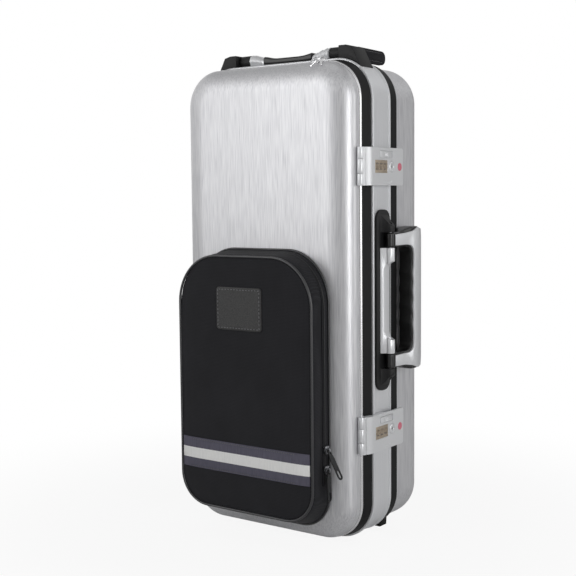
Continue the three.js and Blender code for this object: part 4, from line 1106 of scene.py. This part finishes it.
# Reflective tape, which follows the bag's crown back at both ends
webbing = {
    "x": (-93.4, 93.4), "y": (-105.5, -103.8), "z": (79.3, 115.5), "edge": 0.3,
    "slices": (70, 80, 88), "bends": {70: 0.3, 80: 0.5, 88: 0.8, 93: 1.2},
    "seamHalf": 76, "seamIn": 1.8,
}


def sewnTape():
    s = webbing
    tape = addBox("reflectiveTape", *zip(s["x"], s["y"], s["z"]))
    edit(tape)
    for x in [-x for x in reversed(s["slices"])] + list(s["slices"]):
        sliceAcross(0, x)
    for x, back in s["bends"].items():
        pick("VERT", lambda v: abs(v.co.x) > (x - 1) * mm)
        bpy.ops.transform.translate(value=(0, back * mm, 0))
    done()
    soften(tape, s["edge"])
    return tape


def tapeSeams():
    s = webbing
    heights = (s["z"][0] + s["seamIn"], s["z"][1] - s["seamIn"])
    half, y = s["seamHalf"], s["y"][0]
    return fuse(*[sewnRow("tapeSeam", (-half, y, z), (half, y, z)) for z in heights])


settle(sewnTape(), finishes["tape"], "lid", "tape_cloth", "pocket_tape")
settle(tapeSeams(), finishes["thread"], "lid", "tape_cloth")
print("patch and tape made")


# Linings: the foam's form, rounded all over as padding is
linings = {"voxel": 2.5, "rounds": 10,
           "pieces": {"base_liner": ("baseLining", "base"), "lid_liner": ("lidLining", "lid")}}
for node, (name, body) in linings["pieces"].items():
    padding = mergedCopy(node, name)
    done()
    remeshRound(padding, linings["voxel"], linings["rounds"])
    settle(padding, finishes["plush"], body, "plush", node)
print("linings made")


# Floor, which shows as white to the camera further out and keeps the shadow near the case
floorSheet = {"z": -1.45, "side": 12, "fade": (0.2, 0.7), "nearLevel": 0.9}


def studioFloor():
    s = floorSheet
    clearPick()
    bpy.ops.mesh.primitive_plane_add(size=1, location=(0, 0, s["z"] * mm))
    floor = bpy.context.object
    floor.name = "studioFloor"
    floor.scale = (s["side"], s["side"], 1)
    fixPlace(floor)
    material, tree, shader, place = startMaterial("palePaper", Roughness=0.9)  # matt paper roll
    shader.inputs["Base Color"].default_value = hexColour("F2F2F2")
    light = addNode(tree, "ShaderNodeLightPath")
    glow = addNode(tree, "ShaderNodeEmission", None, {"Color": (1, 1, 1, 1), "Strength": 1.0})
    far = addNode(tree, "ShaderNodeVectorMath", {"operation": "LENGTH"}, {0: place})
    fade = addNode(tree, "ShaderNodeMapRange", {"interpolation_type": "SMOOTHSTEP"}, {
        "Value": far.outputs["Value"], "From Min": s["fade"][0], "From Max": s["fade"][1],
        "To Min": s["nearLevel"], "To Max": 1.0})
    seen = addMath(tree, "MULTIPLY", light.outputs["Is Camera Ray"], fade.outputs[0])
    mixed = addNode(tree, "ShaderNodeMixShader", None, {
        0: seen, 1: shader.outputs[0], 2: glow.outputs[0]})
    tree.links.new(mixed.outputs[0], tree.nodes["Material Output"].inputs["Surface"])
    floor.data.materials.append(material)


# The room is darker overhead, round the camera, far right and behind, and metal shows that.
# Each dark side has its direction, and the cosines at which it starts and is full.
darkSides = {
    "overhead": ((0, 0, 1), 0.4, 0.85), "cameraSide": ((0.36, -0.93, 0.05), 0.9, 0.985),
    "farRight": ((0.57, 0.82, 0.0), 0.84, 0.985), "behind": ((-0.05, 1.0, 0.0), 0.8, 0.97),
}
roomLight = {"soft": 0.24, "darkest": 0.35}


def studioWorld():
    world = bpy.data.worlds.new("studioWorld")
    bpy.context.scene.world = world
    world.use_nodes = True
    tree = world.node_tree
    tree.nodes.clear()
    rays = addNode(tree, "ShaderNodeLightPath").outputs
    mirror = addMath(tree, "MAXIMUM", rays["Is Glossy Ray"], rays["Is Transmission Ray"])
    shown = addMath(tree, "MAXIMUM", rays["Is Camera Ray"], mirror)
    toward = addNode(tree, "ShaderNodeTexCoord").outputs["Generated"]
    level = 1.0
    for aim, start, end in darkSides.values():
        near = addNode(tree, "ShaderNodeVectorMath", {"operation": "DOT_PRODUCT"}, {
            0: toward, 1: aim})
        dim = addNode(tree, "ShaderNodeMapRange", {"interpolation_type": "SMOOTHSTEP"}, {
            "Value": near.outputs["Value"], "From Min": start, "From Max": end,
            "To Min": 1.0, "To Max": roomLight["darkest"]})
        level = addMath(tree, "MULTIPLY", dim.outputs[0], level)
    seen = addMath(tree, "MAXIMUM", rays["Is Camera Ray"], level)
    white = (1, 1, 1, 1)
    soft = addNode(tree, "ShaderNodeBackground", None, {
        "Color": white, "Strength": roomLight["soft"]})
    full = addNode(tree, "ShaderNodeBackground", None, {"Color": white, "Strength": seen})
    both = addNode(tree, "ShaderNodeMixShader", None, {
        0: shown, 1: soft.outputs[0], 2: full.outputs[0]})
    addNode(tree, "ShaderNodeOutputWorld", None, {"Surface": both.outputs[0]})


# Lamps: place, aim and size in metres, and power in watts
lamps = {
    "keySoftbox": ((-1.05, -2.05, 0.9), (0, 0, 0.3), (1.2, 1.6), 12.5),
    "rightStrip": ((1.9, -0.95, 0.3), (0, 0, 0.25), (0.45, 1.6), 17),
    "backRightSoftbox": ((1.9, 0.85, 0.4), (0, 0, 0.28), (0.9, 1.3), 6),
    "topSoftbox": ((-0.2, -0.2, 2.2), (0, 0, 0.3), (1.2, 1.2), 2),
}


def addLamp(name, place, aim, size, power):
    clearPick()
    bpy.ops.object.light_add(type="AREA", location=place)
    lamp = bpy.context.object
    lamp.name = name
    lamp.data.shape = "RECTANGLE"
    lamp.data.size, lamp.data.size_y = size
    lamp.data.energy = power
    lamp.rotation_euler = (Vector(aim) - Vector(place)).to_track_quat("-Z", "Y").to_euler()


# Camera: place in metres, angles in degrees, lens in mm, as fitted to the photograph
view = {"place": (0.7903, -1.0887, 0.4047), "turn": 36.303, "rise": 4.832, "roll": -0.537,
        "lens": 68.774}


def photoCamera():
    turn, rise, roll = (math.radians(view[key]) for key in ("turn", "rise", "roll"))
    flat = math.cos(rise)
    back = Vector((math.sin(turn) * flat, -math.cos(turn) * flat, math.sin(rise)))
    right = (-back).cross(Vector((0, 0, 1))).normalized()
    up = right.cross(-back)
    across = math.cos(roll) * right + math.sin(roll) * up
    above = -math.sin(roll) * right + math.cos(roll) * up
    clearPick()
    bpy.ops.object.camera_add(location=view["place"])
    camera = bpy.context.object
    camera.data.lens = view["lens"]
    camera.data.sensor_width = 36
    turned = Matrix((across, above, back)).transposed().to_4x4()
    camera.matrix_world = Matrix.Translation(view["place"]) @ turned
    bpy.context.scene.camera = camera


studioFloor()
studioWorld()
for name, settings in lamps.items():
    addLamp(name, *settings)
photoCamera()
bpy.context.scene.view_settings.view_transform = "Standard"
print("studio ready")
